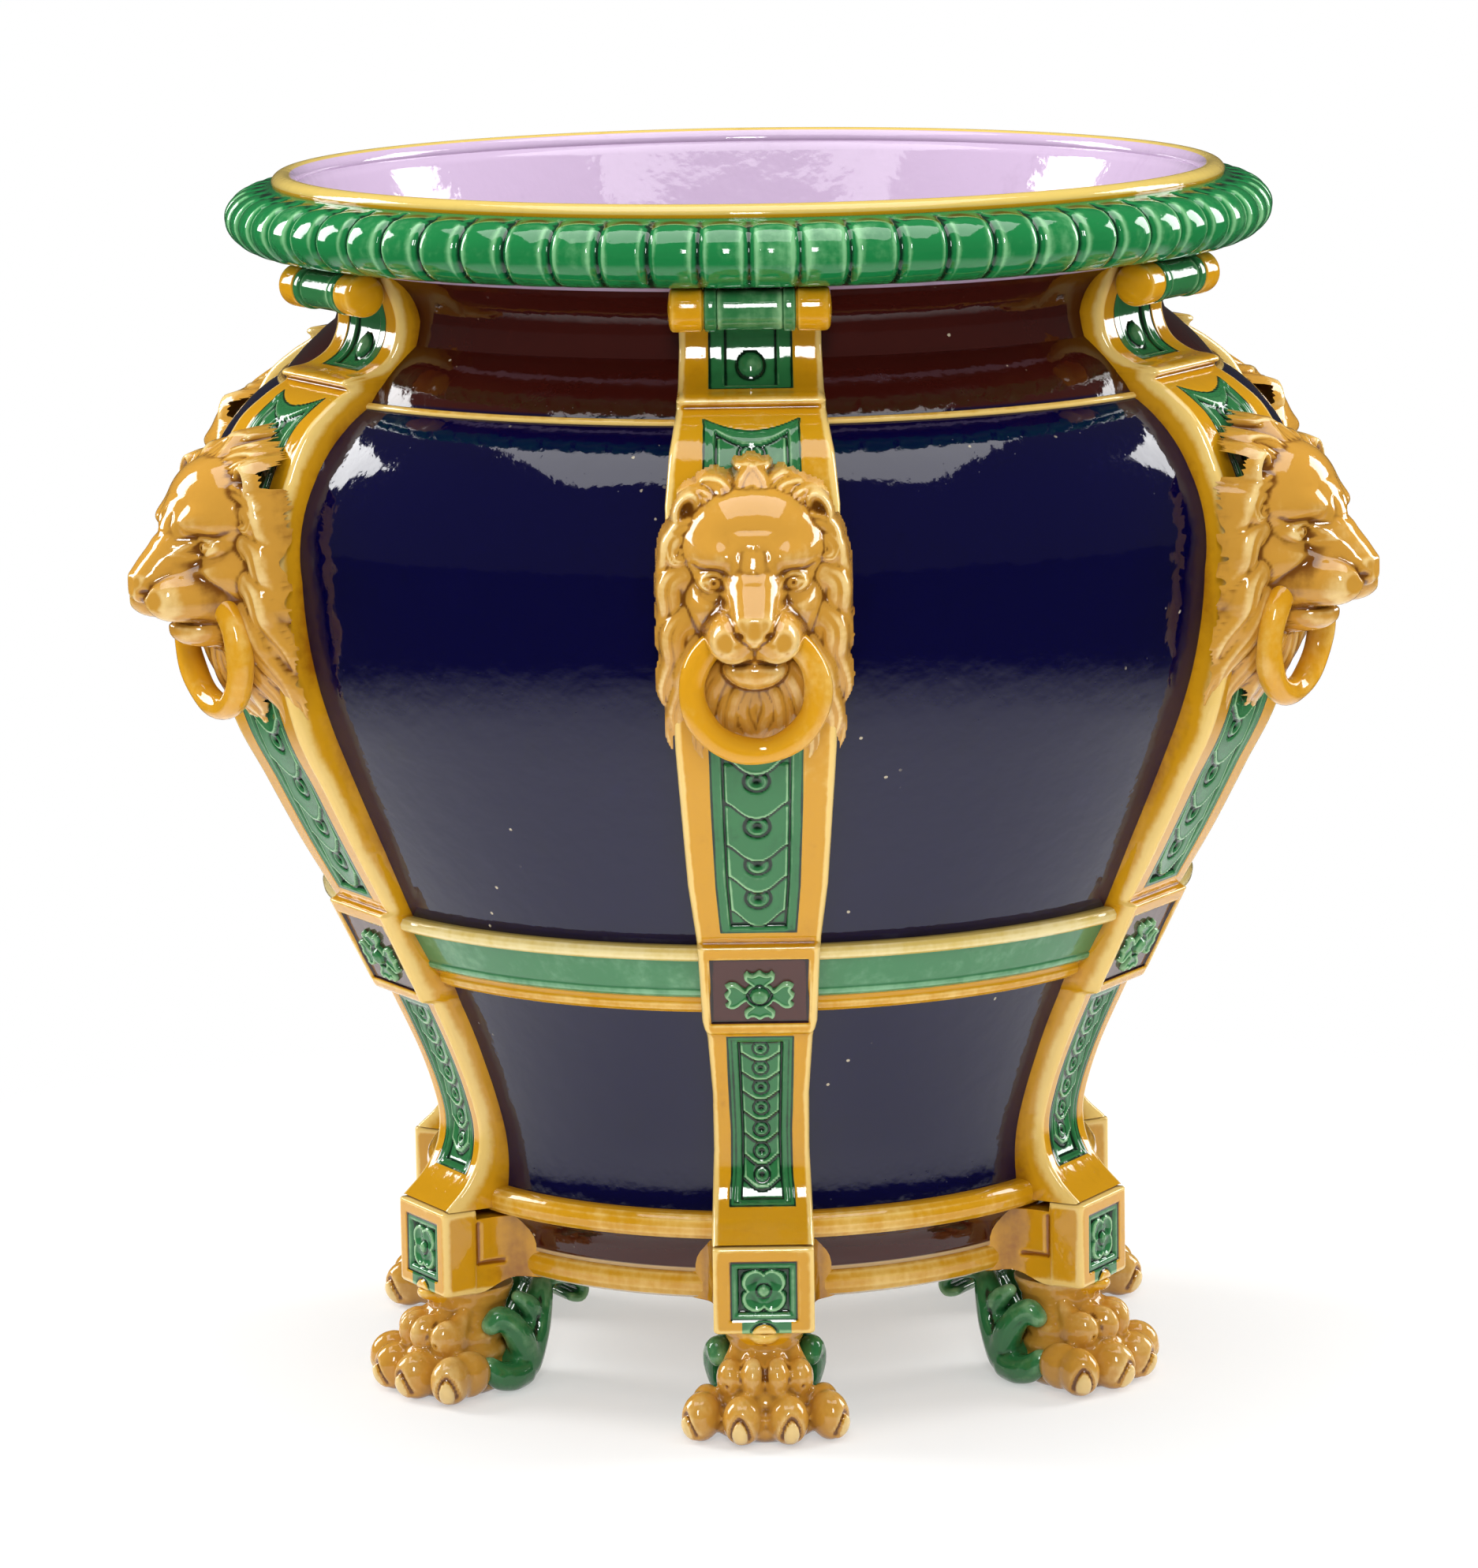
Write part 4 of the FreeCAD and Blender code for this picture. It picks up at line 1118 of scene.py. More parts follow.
@dataclass
class WaistFlower(Assembly):
    """The cross-shaped flower in each waist block."""

    centre: tuple[float, float] = (176.3, 184.8)
    slope: float = 26.6

    def build(self) -> None:
        """Models the flower flat, then lays it on the slope of the block."""
        columns = np.linspace(-16.0, 16.0, 78)
        rows = np.linspace(-13.6, 13.6, 66)
        store: dict[str, np.ndarray] = {}

        def place(y: np.ndarray, z: np.ndarray) -> np.ndarray:
            """Raises the flower on its sheet and keeps its outline.

            Args:
                y: Distance across.
                z: Distance up the slope.

            Returns:
                The points.
            """
            reach = np.full_like(y, -1e9)
            for turn in range(4):
                c, s = math.cos(turn * math.pi / 2), math.sin(turn * math.pi / 2)
                length = 14.2 if turn % 2 == 0 else 12.2
                u, v = y * c + z * s, -y * s + z * c
                way = np.clip(u / length, 0, 1)
                flare = 3.0 + 3.5 * step(0.36, 0.72, way) - 1.4 * step(0.8, 1.0, way)
                cut = 0.9 * np.cos(v * 1.15) * step(0.6, 1.0, way)
                arm = np.minimum(np.minimum(flare - np.abs(v), length - 0.9 + cut - u), u + 2)
                reach = np.maximum(reach, arm)
            away = np.hypot(y, z)
            reach = np.maximum(reach, 6.4 - away)
            thick = -3.0 + 5.0 * step(-0.5, 0.9, reach) + 0.45 * bump(reach - 1.0,
                                                                      0.6) - 0.5 * step(1.2, 3.0, reach)
            thick += 2.6 * np.sqrt(np.clip(1 - (away / 3.6) ** 2, 0, 1)) - 0.9 * bump(away - 4.6, 0.8)
            store["keep"] = reach
            # Painted shade round the boss and along the flower's outline, a touch lighter just inside it:
            # gathered glaze with painted shade and highlight.
            store["ink"] = 1.0 * bump(away - 4.9, 0.5) + 0.7 * bump(reach + 0.2,
                                                                    0.5) - 0.25 * bump(reach - 1.0, 0.5)
            return np.column_stack([thick, y, z])

        bm = sheet(columns, rows, place)
        gone = [v for v, keep in zip(bm.verts, store["keep"]) if keep < -0.75]
        kept = store["keep"] >= -0.75
        bmesh.ops.delete(bm, geom=gone, context="VERTS")
        lone = [v for v in bm.verts if not v.link_faces]
        bmesh.ops.delete(bm, geom=lone, context="VERTS")
        bmesh.ops.recalc_face_normals(bm, faces=bm.faces)
        tilt = Matrix.Rotation(math.radians(self.slope), 4, "Y")
        place_it = Matrix.Translation((self.centre[0], 0, self.centre[1])) @ tilt
        if sum(f.normal.x for f in bm.faces) < 0:
            bmesh.ops.reverse_faces(bm, faces=bm.faces)
        bmesh.ops.transform(bm, matrix=place_it, verts=bm.verts)
        ink = store["ink"][kept][:len(bm.verts)]
        made = self.piece(bm, "waist_flower_1", "waist_sprig_1", "green_glaze",
                          self.shop.finish("flower_green", [LEAF]), ink, 0.3, 1.2)
        self.round_the_pot(made, "waist_flower", "waist_sprig", "green_glaze")


# ------------------------------------------------------------------ lion masks
@dataclass
class LionMask(Assembly):
    """The press-moulded lion mask, raised as one sheet over the strap."""

    spacing: float = 0.66
    locks: tuple = (
        # each stop is (y, z, height, half width); the last locks lie on top
        ((28, 376, 242, 5.0), (32, 369, 236, 5.0), (33.5, 360, 230, 4.5), (33, 351, 223, 2.0)),
        ((29, 356, 241, 5.5), (33.5, 346, 235, 5.0), (35, 336, 229, 4.5), (34, 326, 222, 2.0)),
        ((28, 336, 240, 5.5), (33, 325, 234, 5.0), (34.5, 314, 228, 4.5), (32.5, 303, 222, 2.0)),
        ((25, 316, 239, 5.5), (29.5, 306, 233, 5.0), (31, 296, 227, 4.0), (28.5, 287, 222, 2.0)),
        ((-2, 319, 246, 6.0), (-5, 308, 243, 7.0), (-1, 297, 238, 6.0), (3.5, 287, 229, 2.0)),
        ((4, 322, 247, 6.0), (8.5, 312, 244.5, 6.6), (9, 301, 240, 6.2), (5.5, 291, 231, 2.5)),
        ((10, 326, 248, 6.2), (15.5, 316, 245, 7.4), (18, 304, 239.5, 7.0), (21.5, 293, 231, 4.6),
         (19, 284, 226, 1.5)),
        ((19, 334, 247.5, 6.4), (22.5, 326, 246.5, 7.6), (24.5, 315, 241, 7.2), (29, 303, 233, 5.0),
         (27.5, 292, 226, 1.5)),
        ((23.5, 346, 248, 6.6), (28.5, 339, 246, 7.2), (28, 328, 242, 7.2), (32.5, 316, 234, 5.2),
         (31, 305, 226, 1.5)),
        ((25, 361, 248, 6.2), (30, 356, 246, 7.0), (29.5, 345, 242.5, 7.0), (33.5, 333, 235, 5.0),
         (32.5, 323, 227, 1.5)),
        ((24.5, 374, 248.5, 5.2), (29, 371.5, 246.5, 6.0), (30, 363, 243.5, 6.2), (33.5, 353, 236, 4.4),
         (33, 345, 229, 1.5)),
        ((19, 380.5, 252, 4.6), (25.5, 380, 249.5, 4.8), (30, 374.5, 247, 4.4), (29.6, 368.4, 246.5, 3.4),
         (25.8, 368.4, 248, 2.4), (26.6, 371.6, 248, 1.6)),
        ((15, 384, 252, 4.8), (19, 389, 247, 4.8), (24.5, 389.5, 241.5, 3.6), (27.5, 385, 236, 1.2)),
        ((9.5, 385, 254, 5.0), (12.5, 391, 248, 5.2), (17.5, 393, 241, 3.8), (21.5, 391, 236, 1.2)),
        ((5.0, 386, 255.5, 5.0), (7.5, 392.5, 249, 5.2), (11.5, 396.5, 241, 3.6), (14.5, 397, 235, 1.2)),
        ((0.5, 386, 256, 5.4), (-1.5, 393.5, 250, 6.0), (1.0, 399.0, 241, 4.2), (5.5, 400.5, 234.5, 1.2)),
    )

    @staticmethod
    def behind(y: np.ndarray, z: np.ndarray) -> np.ndarray:
        """How far out the mask's edge ends, on the strap or a little beside it."""
        strap = np.interp(z, (258, 285, 325, 350, 372, 389, 403.5, 412),
                          (213, 226.5, 236.5, 237.5, 234, 227.8, 219.5, 209))
        return strap - 4.5 * step(30.5, 32.5, np.abs(y))

    def hair(self, y: np.ndarray, z: np.ndarray) -> tuple[np.ndarray, np.ndarray]:
        """The mane: soft locks laid one over another, each combed along its length.

        Args:
            y: Distance across for each point.
            z: Height for each point.

        Returns:
            How far out the hair stands, and its darkening: gathered glaze and painted shade.
        """
        ground = 1 - (y / 33.0) ** 2 - ((z - 342) / 56.0) ** 2
        out = np.where(ground > 0, 216.0 + 24.0 * np.sqrt(np.clip(ground, 0, 1)), self.behind(y, z) - 12.0)
        ink = np.zeros_like(y)
        for number, stops in enumerate(self.locks):
            for mirror in (1.0, -1.0):
                shift = 0.0 if mirror > 0 else 1.6 * math.sin(number * 2.1)
                curve = drawn_through([(mirror * a, b + shift, c, d) for a, b, c, d in stops], 7)
                distance, share, side = along(curve[:, :2], np.column_stack([y, z]))
                steps = np.linspace(0, 1, len(curve))
                height = np.interp(share, steps, curve[:, 2])
                width = np.interp(share, steps, curve[:, 3])
                q = distance / width
                crown = 0.85 * width * (1 - np.sqrt(np.clip(1 - q ** 2, 0, 1)))
                lock = height - crown - 8.0 * np.clip(distance - width, 0, None)
                comb = np.clip(-np.cos(side / width * math.pi * 2.7), 0, 1) * step(1.0, 0.8,
                                                                                   q) * step(0.0, 0.2, share)
                lock = lock - 0.6 * comb
                over = lock > out
                # Painted shade in the combing and along each lock's edge, with gathered glaze.
                ink = np.where(over, 0.4 * comb ** 2 + 0.5 * step(0.6, 1.0, q) - 0.15, ink)
                out = np.where(over, lock, out)
        return out, ink

    @staticmethod
    def dome(y: np.ndarray, z: np.ndarray, centre: tuple[float, float], axes: tuple[float, float],
             foot: float,
             rise: float) -> np.ndarray:
        """A rounded swelling on the face.

        Args:
            y: Distance across for each point.
            z: Height for each point.
            centre: Its middle.
            axes: Its half width and half height.
            foot: How far out its foot lies.
            rise: How far it swells.

        Returns:
            How far out it stands, falling away quickly beyond its edge.
        """
        q = np.hypot((y - centre[0]) / axes[0], (z - centre[1]) / axes[1])
        return foot + rise * np.sqrt(np.clip(1 - q ** 2, 0, 1)) - 9.0 * np.clip(q - 1, 0, None) * min(axes)

    def face(self, y: np.ndarray, z: np.ndarray) -> np.ndarray:
        """The lion's face: brow, nose bridge, cheeks, muzzle and chin.

        Args:
            y: Distance across for each point.
            z: Height for each point.

        Returns:
            How far out the face stands.
        """
        wide = np.abs(y)
        out = self.dome(y, z, (0, 372.5), (28.0, 22.5), 240.0, 23.5)
        out = smooth_max(out, self.dome(y, z, (0, 353), (28.0, 29), 235.0, 24.0), 6.0)
        out = out + 5.5 * bump(np.hypot((wide - 18.0) / 9.0, (z - 349.5) / 9.5), 0.8)
        out = out + 5.0 * bump(np.hypot((wide - 13.0) / 12.0, (z - 369.4 - 0.12 * (wide - 13.0)) / 7.2), 0.75)
        ridge = np.interp(z, [337, 341, 346, 350, 355, 360, 365, 373, 380, 388],
                          [278, 281.5, 283, 282, 278, 273.5, 270, 267, 262, 252])
        half = np.interp(z, [340, 350, 360, 370], [8.0, 8.6, 10.0, 10.4])
        bridge = ridge - 8.0 * np.abs(wide / half) ** 3.4 - 60 * step(378, 392, z) - 200 * step(338, 331, z)
        out = smooth_max(out, np.maximum(bridge, 150.0), 4.0)
        out = smooth_max(out, self.dome(y, z, (0, 342.5), (18.5, 15.5), 251.0, 25.0), 5.0)
        out = smooth_max(out, self.dome(wide, z, (8.2, 339.6), (9.9, 10.2), 264.0, 16.4), 3.0)
        jaw = self.dome(y, z, (0, 325.4), (12.0, 7.6), 250.0, 16.0)
        return smooth_max(out, jaw, 1.6)

    def features(self, y: np.ndarray, z: np.ndarray, out: np.ndarray) -> tuple[np.ndarray, np.ndarray]:
        """Nose, mouth, eyes and folds, drawn with a fine tool.

        Args:
            y: Distance across for each point.
            z: Height for each point.
            out: How far out the face stands.

        Returns:
            The face with its features, and its darkening: gathered glaze and painted shade.
        """
        wide = np.abs(y)
        flat = np.column_stack([wide, z])
        ink = np.zeros_like(y)

        def mark(stops: Line, width: float, height: float, dark: float = 0.0) -> None:
            """Draws one line of the tool on both halves of the face.

            Args:
                stops: Points of (distance across, height).
                width: Half width of the mark.
                height: How far it stands out, below zero for a cut.
                dark: How much darker it is painted: gathered glaze and painted shade.
            """
            nonlocal out, ink
            distance, share, _ = along(drawn_through(stops, 5), flat)
            fade = 0.4 + 0.6 * step(0.0, 0.15, share) * step(0.0, 0.15, 1 - share)
            out = out + height * bump(distance, width) * fade
            ink = ink + dark * bump(distance, width * 0.8) * fade

        # nose leather
        nose = np.minimum(np.minimum(7.4 - wide, 349.4 - z), (z - 336.6) * 0.62 - wide + 0.8)
        out = out + 1.6 * step(-0.8, 1.4, nose)
        ink = ink + 0.25 * bump(nose, 0.6) * (z < 348)
        # The nostrils are painted dark: painted shade with gathered glaze.
        hole = np.hypot((wide - 5.4) / 1.7, (z - 342.6) / 1.2)
        out = out - 2.4 * bump(hole, 0.9)
        ink = ink + 1.1 * bump(hole, 0.9)
        mark([(7.8, 346.4), (7.5, 343.0), (5.4, 340.8), (2.8, 339.0), (0.9, 336.8)], 0.7, -0.8, 0.5)
        # lips
        mark([(0.0, 337.2), (0.0, 334.4), (0.0, 331.6)], 0.8, -1.8, 0.8)
        mark([(0.0, 331.6), (3.6, 330.0), (8.2, 329.2), (12.6, 330.2), (15.5, 332.8)], 1.1, -2.6, 1.1)
        mark([(0.0, 328.6), (5.0, 327.6), (9.4, 327.6)], 1.4, 0.7)
        mark([(2.0, 319.6), (8.0, 320.8), (11.6, 323.8)], 1.2, -1.2, 0.45)
        # muzzle folds
        mark([(9.6, 354.6), (12.0, 351.4), (15.6, 347.6), (18.0, 342.4), (18.4, 336.8), (17.0, 332.4)], 1.6,
             -1.6, 0.4)
        mark([(8.4, 353.0), (9.2, 349.4), (8.8, 345.4)], 1.0, -0.7, 0.2)
        for k in range(3):
            mark([(6.6 + 2.6 * k, 338.8 - 1.6 * k), (7.6 + 2.6 * k, 338.2 - 1.6 * k)], 0.5, -0.35, 0.25)
        # brows
        mark([(4.8, 372.0), (4.6, 369.0), (5.2, 366.0), (7.2, 363.6), (10.0, 362.8)], 1.6, -1.1, 0.22)
        mark([(0.0, 372.8), (2.6, 372.8), (5.0, 371.6)], 1.3, -0.7, 0.12)
        mark([(0.0, 364.6), (2.6, 364.4), (5.0, 365.0)], 1.3, -0.7, 0.14)
        mark([(8.6, 362.6), (13.6, 364.8), (19.4, 364.6), (24.4, 367.0)], 1.0, -1.6, 0.6)
        # eyes
        socket = np.hypot((wide - 15.4) / 7.6, (z - 359.6) / 5.2)
        out = out - 3.2 * bump(socket, 0.8)
        eyeball = self.dome(wide, z, (15.4, 359.7), (5.2, 4.0), 254.6, 5.0)
        out = smooth_max(out, eyeball, 0.8)
        mark([(9.2, 357.0), (11.2, 360.8), (14.8, 363.2), (18.6, 362.8), (21.8, 361.0)], 0.9, 1.6, -0.3)
        mark([(9.4, 356.8), (12.2, 355.8), (16.0, 356.0), (19.6, 358.2), (21.8, 360.8)], 0.9, 1.2, -0.2)
        mark([(10.8, 358.2), (12.4, 360.8), (15.0, 361.9), (18.0, 361.4), (19.6, 360.2)], 0.5, -0.7, 0.7)
        mark([(10.6, 358.0), (12.8, 357.0), (16.0, 357.2), (19.2, 359.4)], 0.5, -0.7, 0.6)
        # The drilled pupil is painted dark: painted shade with gathered glaze.
        pupil = np.hypot(wide - 15.0, z - 359.6)
        out = out - 1.3 * bump(pupil, 0.9)
        ink = ink + 1.2 * bump(pupil, 0.85)
        mark([(10.0, 353.6), (14.0, 352.2), (18.6, 353.4), (22.0, 356.4)], 1.1, -0.6, 0.2)
        return out, ink

    def ears(self, y: np.ndarray, z: np.ndarray, out: np.ndarray, ink: np.ndarray) -> tuple[np.ndarray,
                                                                                            np.ndarray]:
        """Small round ears with dark hollows, between the crest and the side locks.

        Args:
            y: Distance across for each point.
            z: Height for each point.
            out: How far out the hair stands.
            ink: How much darker the hair is painted: gathered glaze and painted shade.

        Returns:
            The hair with its ears, and its darkening: gathered glaze and painted shade.
        """
        wide = np.abs(y)
        lean = (z - 385.4) * 0.25
        ear = np.hypot((wide - 25.0 + lean) / 4.4, (z - 385.4) / 6.2)
        rim = 247.5 - 5.0 * np.clip(ear - 1.0, 0, None) ** 1.0 * 4
        shape = np.where(ear < 1.55, rim - 4.5 * bump(ear, 0.55), -1e3)
        over = shape > out - 4.5 * bump(ear, 0.55)
        out = np.where((ear < 1.5) & over, np.maximum(shape, out - 5.0 * bump(ear, 0.55)), out)
        # The ear hollows are painted dark: painted shade with gathered glaze.
        ink = np.where(ear < 1.5, 1.0 * bump(ear, 0.55) - 0.2 * bump(ear - 1.15, 0.2) + 0.2, ink)
        return out, ink

    def build(self) -> None:
        """Raises the mask once and sets it at every station."""
        columns = np.arange(-46.0, 46.01, self.spacing)
        rows = np.arange(280.0, 407.0, self.spacing)
        store: dict[str, np.ndarray] = {}

        def place(y: np.ndarray, z: np.ndarray) -> np.ndarray:
            """Stands each point of the sheet on the face or the hair.

            Args:
                y: Distance across.
                z: Height.

            Returns:
                The points.
            """
            hair, hair_ink = self.hair(y, z)
            face = self.face(y, z)
            face, face_ink = self.features(y, z, face)
            hair, hair_ink = self.ears(y, z, hair, hair_ink)
            wins = step(-0.6, 0.6, face - hair)
            out = smooth_max(face, hair, 0.9)
            # Painted shade along the seam where the face meets the mane.
            seam = bump(face - hair, 1.1) * (face > 236)
            store["ink"] = face_ink * wins + hair_ink * (1 - wins) + 0.5 * seam
            store["keep"] = out - self.behind(y, z)
            return np.column_stack([np.minimum(out, np.minimum(283.0, 284.6 - 0.577 * np.abs(y))), y, z])

        bm = sheet(columns, rows, place)
        keep = store["keep"] > -2.4
        gone = [v for v, kept in zip(bm.verts, keep) if not kept]
        bmesh.ops.delete(bm, geom=gone, context="VERTS")
        ink = store["ink"][keep]
        for _ in range(2):
            bmesh.ops.smooth_vert(bm, verts=bm.verts, factor=0.5, use_axis_x=True, use_axis_y=True,
                                  use_axis_z=True)
        bmesh.ops.recalc_face_normals(bm, faces=bm.faces)
        if sum(f.normal.x for f in bm.faces) < 0:
            bmesh.ops.reverse_faces(bm, faces=bm.faces)
        made = self.piece(bm, "lion_face_1", "lion_mask_1", "tan_glaze", self.shop.finish("mask_tan", [TAN]),
                          ink, 0.4, 3.6)
        self.round_the_pot(made, "lion_face", "lion_mask", "tan_glaze")


@dataclass
class MouthRing(Assembly):
    """The ring that hangs from each lion's mouth."""

    centre: tuple[float, float] = (248.0, 317.0)
    mean: float = 24.0
    tube: float = 5.5
    lean: float = 6.0

    def build(self) -> None:
        """Turns the ring and sets it at every station."""
        profile = [(self.mean + self.tube * math.cos(t), self.tube * math.sin(t))
                   for t in np.linspace(0, math.tau, 28, endpoint=False)]
        bm = spun(profile, 96, closed=True)
        skin = Skin(bm)
        angle = np.arctan2(skin.points[:, 1], skin.points[:, 0])
        uneven = 0.22 * np.sin(3 * angle + 0.7) + 0.15 * np.sin(7 * angle)
        skin.points -= skin.normals * (0.22 + uneven)[:, None]
        skin.put_back()
        turn = Matrix.Rotation(math.radians(90.0 + self.lean), 4, "Y")
        bmesh.ops.transform(bm, matrix=Matrix.Translation((self.centre[0], 0, self.centre[1])) @ turn,
                            verts=bm.verts)
        bmesh.ops.recalc_face_normals(bm, faces=bm.faces)
        height = zone_by(bm, lambda p: p[:, 2])
        # Painted shade: the ring is darker towards its top, where it goes into the lion's mouth; the rest a
        # touch lighter.
        ink = 0.35 * step(330.0, 338.0, height) - 0.1
        made = self.piece(bm, "mouth_ring_1", "ring_handle_1", "yellow_glaze",
                          self.shop.finish("ring_yellow", [RING_YELLOW]), ink, 3.0, 9.0)
        self.round_the_pot(made, "mouth_ring", "ring_handle", "yellow_glaze")


# ------------------------------------------------------------------ feet
@dataclass
class FootBlock(Assembly):
    """The square block over each paw, with its flower plaque and its web."""

    half: float = 20.2
    low: float = 43.0
    high: float = 78.4
    front: float = 161.6
    corner: float = 2.0
    plan: Line = ((147.6, 20.2), (146.4, 19.9), (142.0, 19.6), (136.0, 19.6), (131.0, 20.6), (127.0, 23.2),
                  (123.0, 27.4), (117.0, 32.0))

    def plaque(self, y: np.ndarray, z: np.ndarray) -> tuple[np.ndarray, np.ndarray, np.ndarray]:
        """The sunk plaque and its four-petalled flower.

        Args:
            y: Distance across for each point.
            z: Height for each point.

        Returns:
            Height, darkening (gathered glaze and painted shade) and the green mask.
        """
        frame = np.minimum(13.4 - np.abs(y), np.minimum(72.6 - z, z - 48.6))
        height = -0.9 * step(-0.4, 0.4, frame)
        field_in = np.minimum(10.4 - np.abs(y), np.minimum(69.6 - z, z - 51.6))
        height = height + 0.5 * bump(frame - 1.4, 0.9) * (frame > 0) - 1.5 * step(-0.4, 0.4, field_in)
        ink = 0.9 * bump(frame - 0.1, 0.5) + 0.9 * bump(field_in - 0.6, 0.8)
        away = np.hypot(y, z - 60.6)
        angle = np.arctan2(z - 60.6, y)
        reach = 6.4 + 3.7 * np.abs(np.sin(2 * angle)) ** 0.55 - away
        petal = step(-0.3, 0.5, reach)
        dish = 1.6 + 0.45 * bump(reach - 0.9, 0.8) - 0.9 * bump(away - 5.4, 2.4) * np.abs(np.sin(2 * angle))
        height = height + petal * dish
        height = height + 1.2 * np.sqrt(np.clip(1 - (away / 2.4) ** 2, 0, 1)) - 0.5 * bump(away - 3.0, 0.5)
        ink = ink * (1 - petal) + petal * (0.3 * bump(away - 5.0, 1.6) - 0.55 * bump(reach - 0.8, 0.6)
                                           + 0.7 * bump(away - 2.9, 0.5))
        run = np.minimum(11.0 - np.abs(y - 1.0), 50.0 - z) * 0.35
        green = np.maximum(step(-0.3, 0.3, frame), step(0.0, 0.8, run))
        arch = np.hypot(y, (z - 42.6) * 1.1)
        height = height + 0.8 * step(5.4, 4.2, arch) - 0.7 * bump(arch - 5.4, 0.5)
        ink = ink + 1.1 * bump(arch - 5.4, 0.6)
        return height, ink, green * step(4.4, 5.4, arch)

    def build(self) -> None:
        """Builds the block and its web as one sheet round the front and sides."""
        flat = np.linspace(-self.half + self.corner, self.half - self.corner, 64)
        turn = np.linspace(0, math.pi / 2, 5)[1:]
        corner_y = self.half - self.corner + self.corner * np.sin(turn)
        corner_x = self.front - self.corner + self.corner * np.cos(turn)
        side = drawn_through(self.plan, 5)
        side_x = np.concatenate([corner_x, np.linspace(158.0, 149.0, 7), side[:, 0]])
        side_y = np.concatenate([corner_y, np.full(7, self.half), side[:, 1]])
        xs = np.concatenate([side_x[::-1], np.full(len(flat), self.front), side_x])
        ys = np.concatenate([-side_y[::-1], flat, side_y])
        columns = np.arange(len(xs), dtype=float)
        rows = np.concatenate([[self.low + 0.3], np.linspace(self.low + 0.9, self.high - 0.9, 56),
                               [self.high - 0.3]])
        store: dict[str, np.ndarray] = {}

        def place(u: np.ndarray, z: np.ndarray) -> np.ndarray:
            """Sets the block's sheet in space and keeps its glaze.

            Args:
                u: Which point of the plan.
                z: Height on the block.

            Returns:
                The points.
            """
            index = np.rint(u).astype(int)
            x, y = xs[index].copy(), ys[index].copy()
            is_front = np.abs(y) < self.half - self.corner + 0.01
            height, ink, green = self.plaque(y, z)
            end = np.clip(np.maximum(self.low + 1.3 - z, z - self.high + 1.3), 0, 1.3)
            soft = 1.3 - np.sqrt(np.clip(1.3 ** 2 - end ** 2, 0, None))
            x = x + np.where(is_front & (x > 150), height, 0) - np.where(x > 148, soft, 0)
            upright = bump(x - 145.6, 0.9) * step(54.4, 55.6, z) * step(73.5, 72.0, z)
            level = bump(z - 55.6, 0.9) * step(133.0, 134.5, x) * (x < 146.4)
            line = np.maximum(upright, level)
            y = y - np.sign(y) * (1.1 * line + np.where((x > 148) & ~is_front, soft, 0))
            z_now = np.where(x < 146.8, np.minimum(z, 74.2), z)
            rise = 5.2 * step(146.0, 128.0, x)
            z_now = np.where(x < 146.8, np.maximum(z_now, self.low + 0.3 + rise), z_now)
            # Painted highlight along the block's edges; on the sides, painted shade in the cut line and
            # towards the back where the web meets the pot.
            edge = 0.5 * bump(end - 1.1, 0.6) * (x > 148) + 0.5 * bump(np.abs(np.abs(y) - self.half + 0.4),
                                                                       0.8) * (x > 158)
            store["ink"] = np.where(is_front, ink, 0.9 * line + 0.35 * step(140.0, 128.0, x)) - edge
            store["green"] = np.where(is_front, green, 0)
            return np.column_stack([x, y, z_now])

        bm = sheet(columns, rows, place)
        rims = [e for e in bm.edges if e.is_boundary]
        inward = [v for v in bmesh.ops.extrude_edge_only(bm, edges=rims)["geom"]
                  if isinstance(v, bmesh.types.BMVert)]
        for vert in inward:
            vert.co = Vector((min(vert.co.x, 150.0), 0.0, vert.co.z))
        bmesh.ops.remove_doubles(bm, verts=inward, dist=0.02)
        bmesh.ops.recalc_face_normals(bm, faces=bm.faces)
        material = self.shop.finish("block_ochre", [OCHRE, LEAF])
        made = self.piece(bm, "plinth_1", "foot_block_1", "ochre_glaze", material, store["ink"], 0.35, 4.0)
        green = np.zeros(len(made.data.vertices))
        green[:len(store["green"])] = store["green"]
        painted(made.data, Zone.FIRST.value, green)
        self.round_the_pot(made, "plinth", "foot_block", "ochre_glaze")


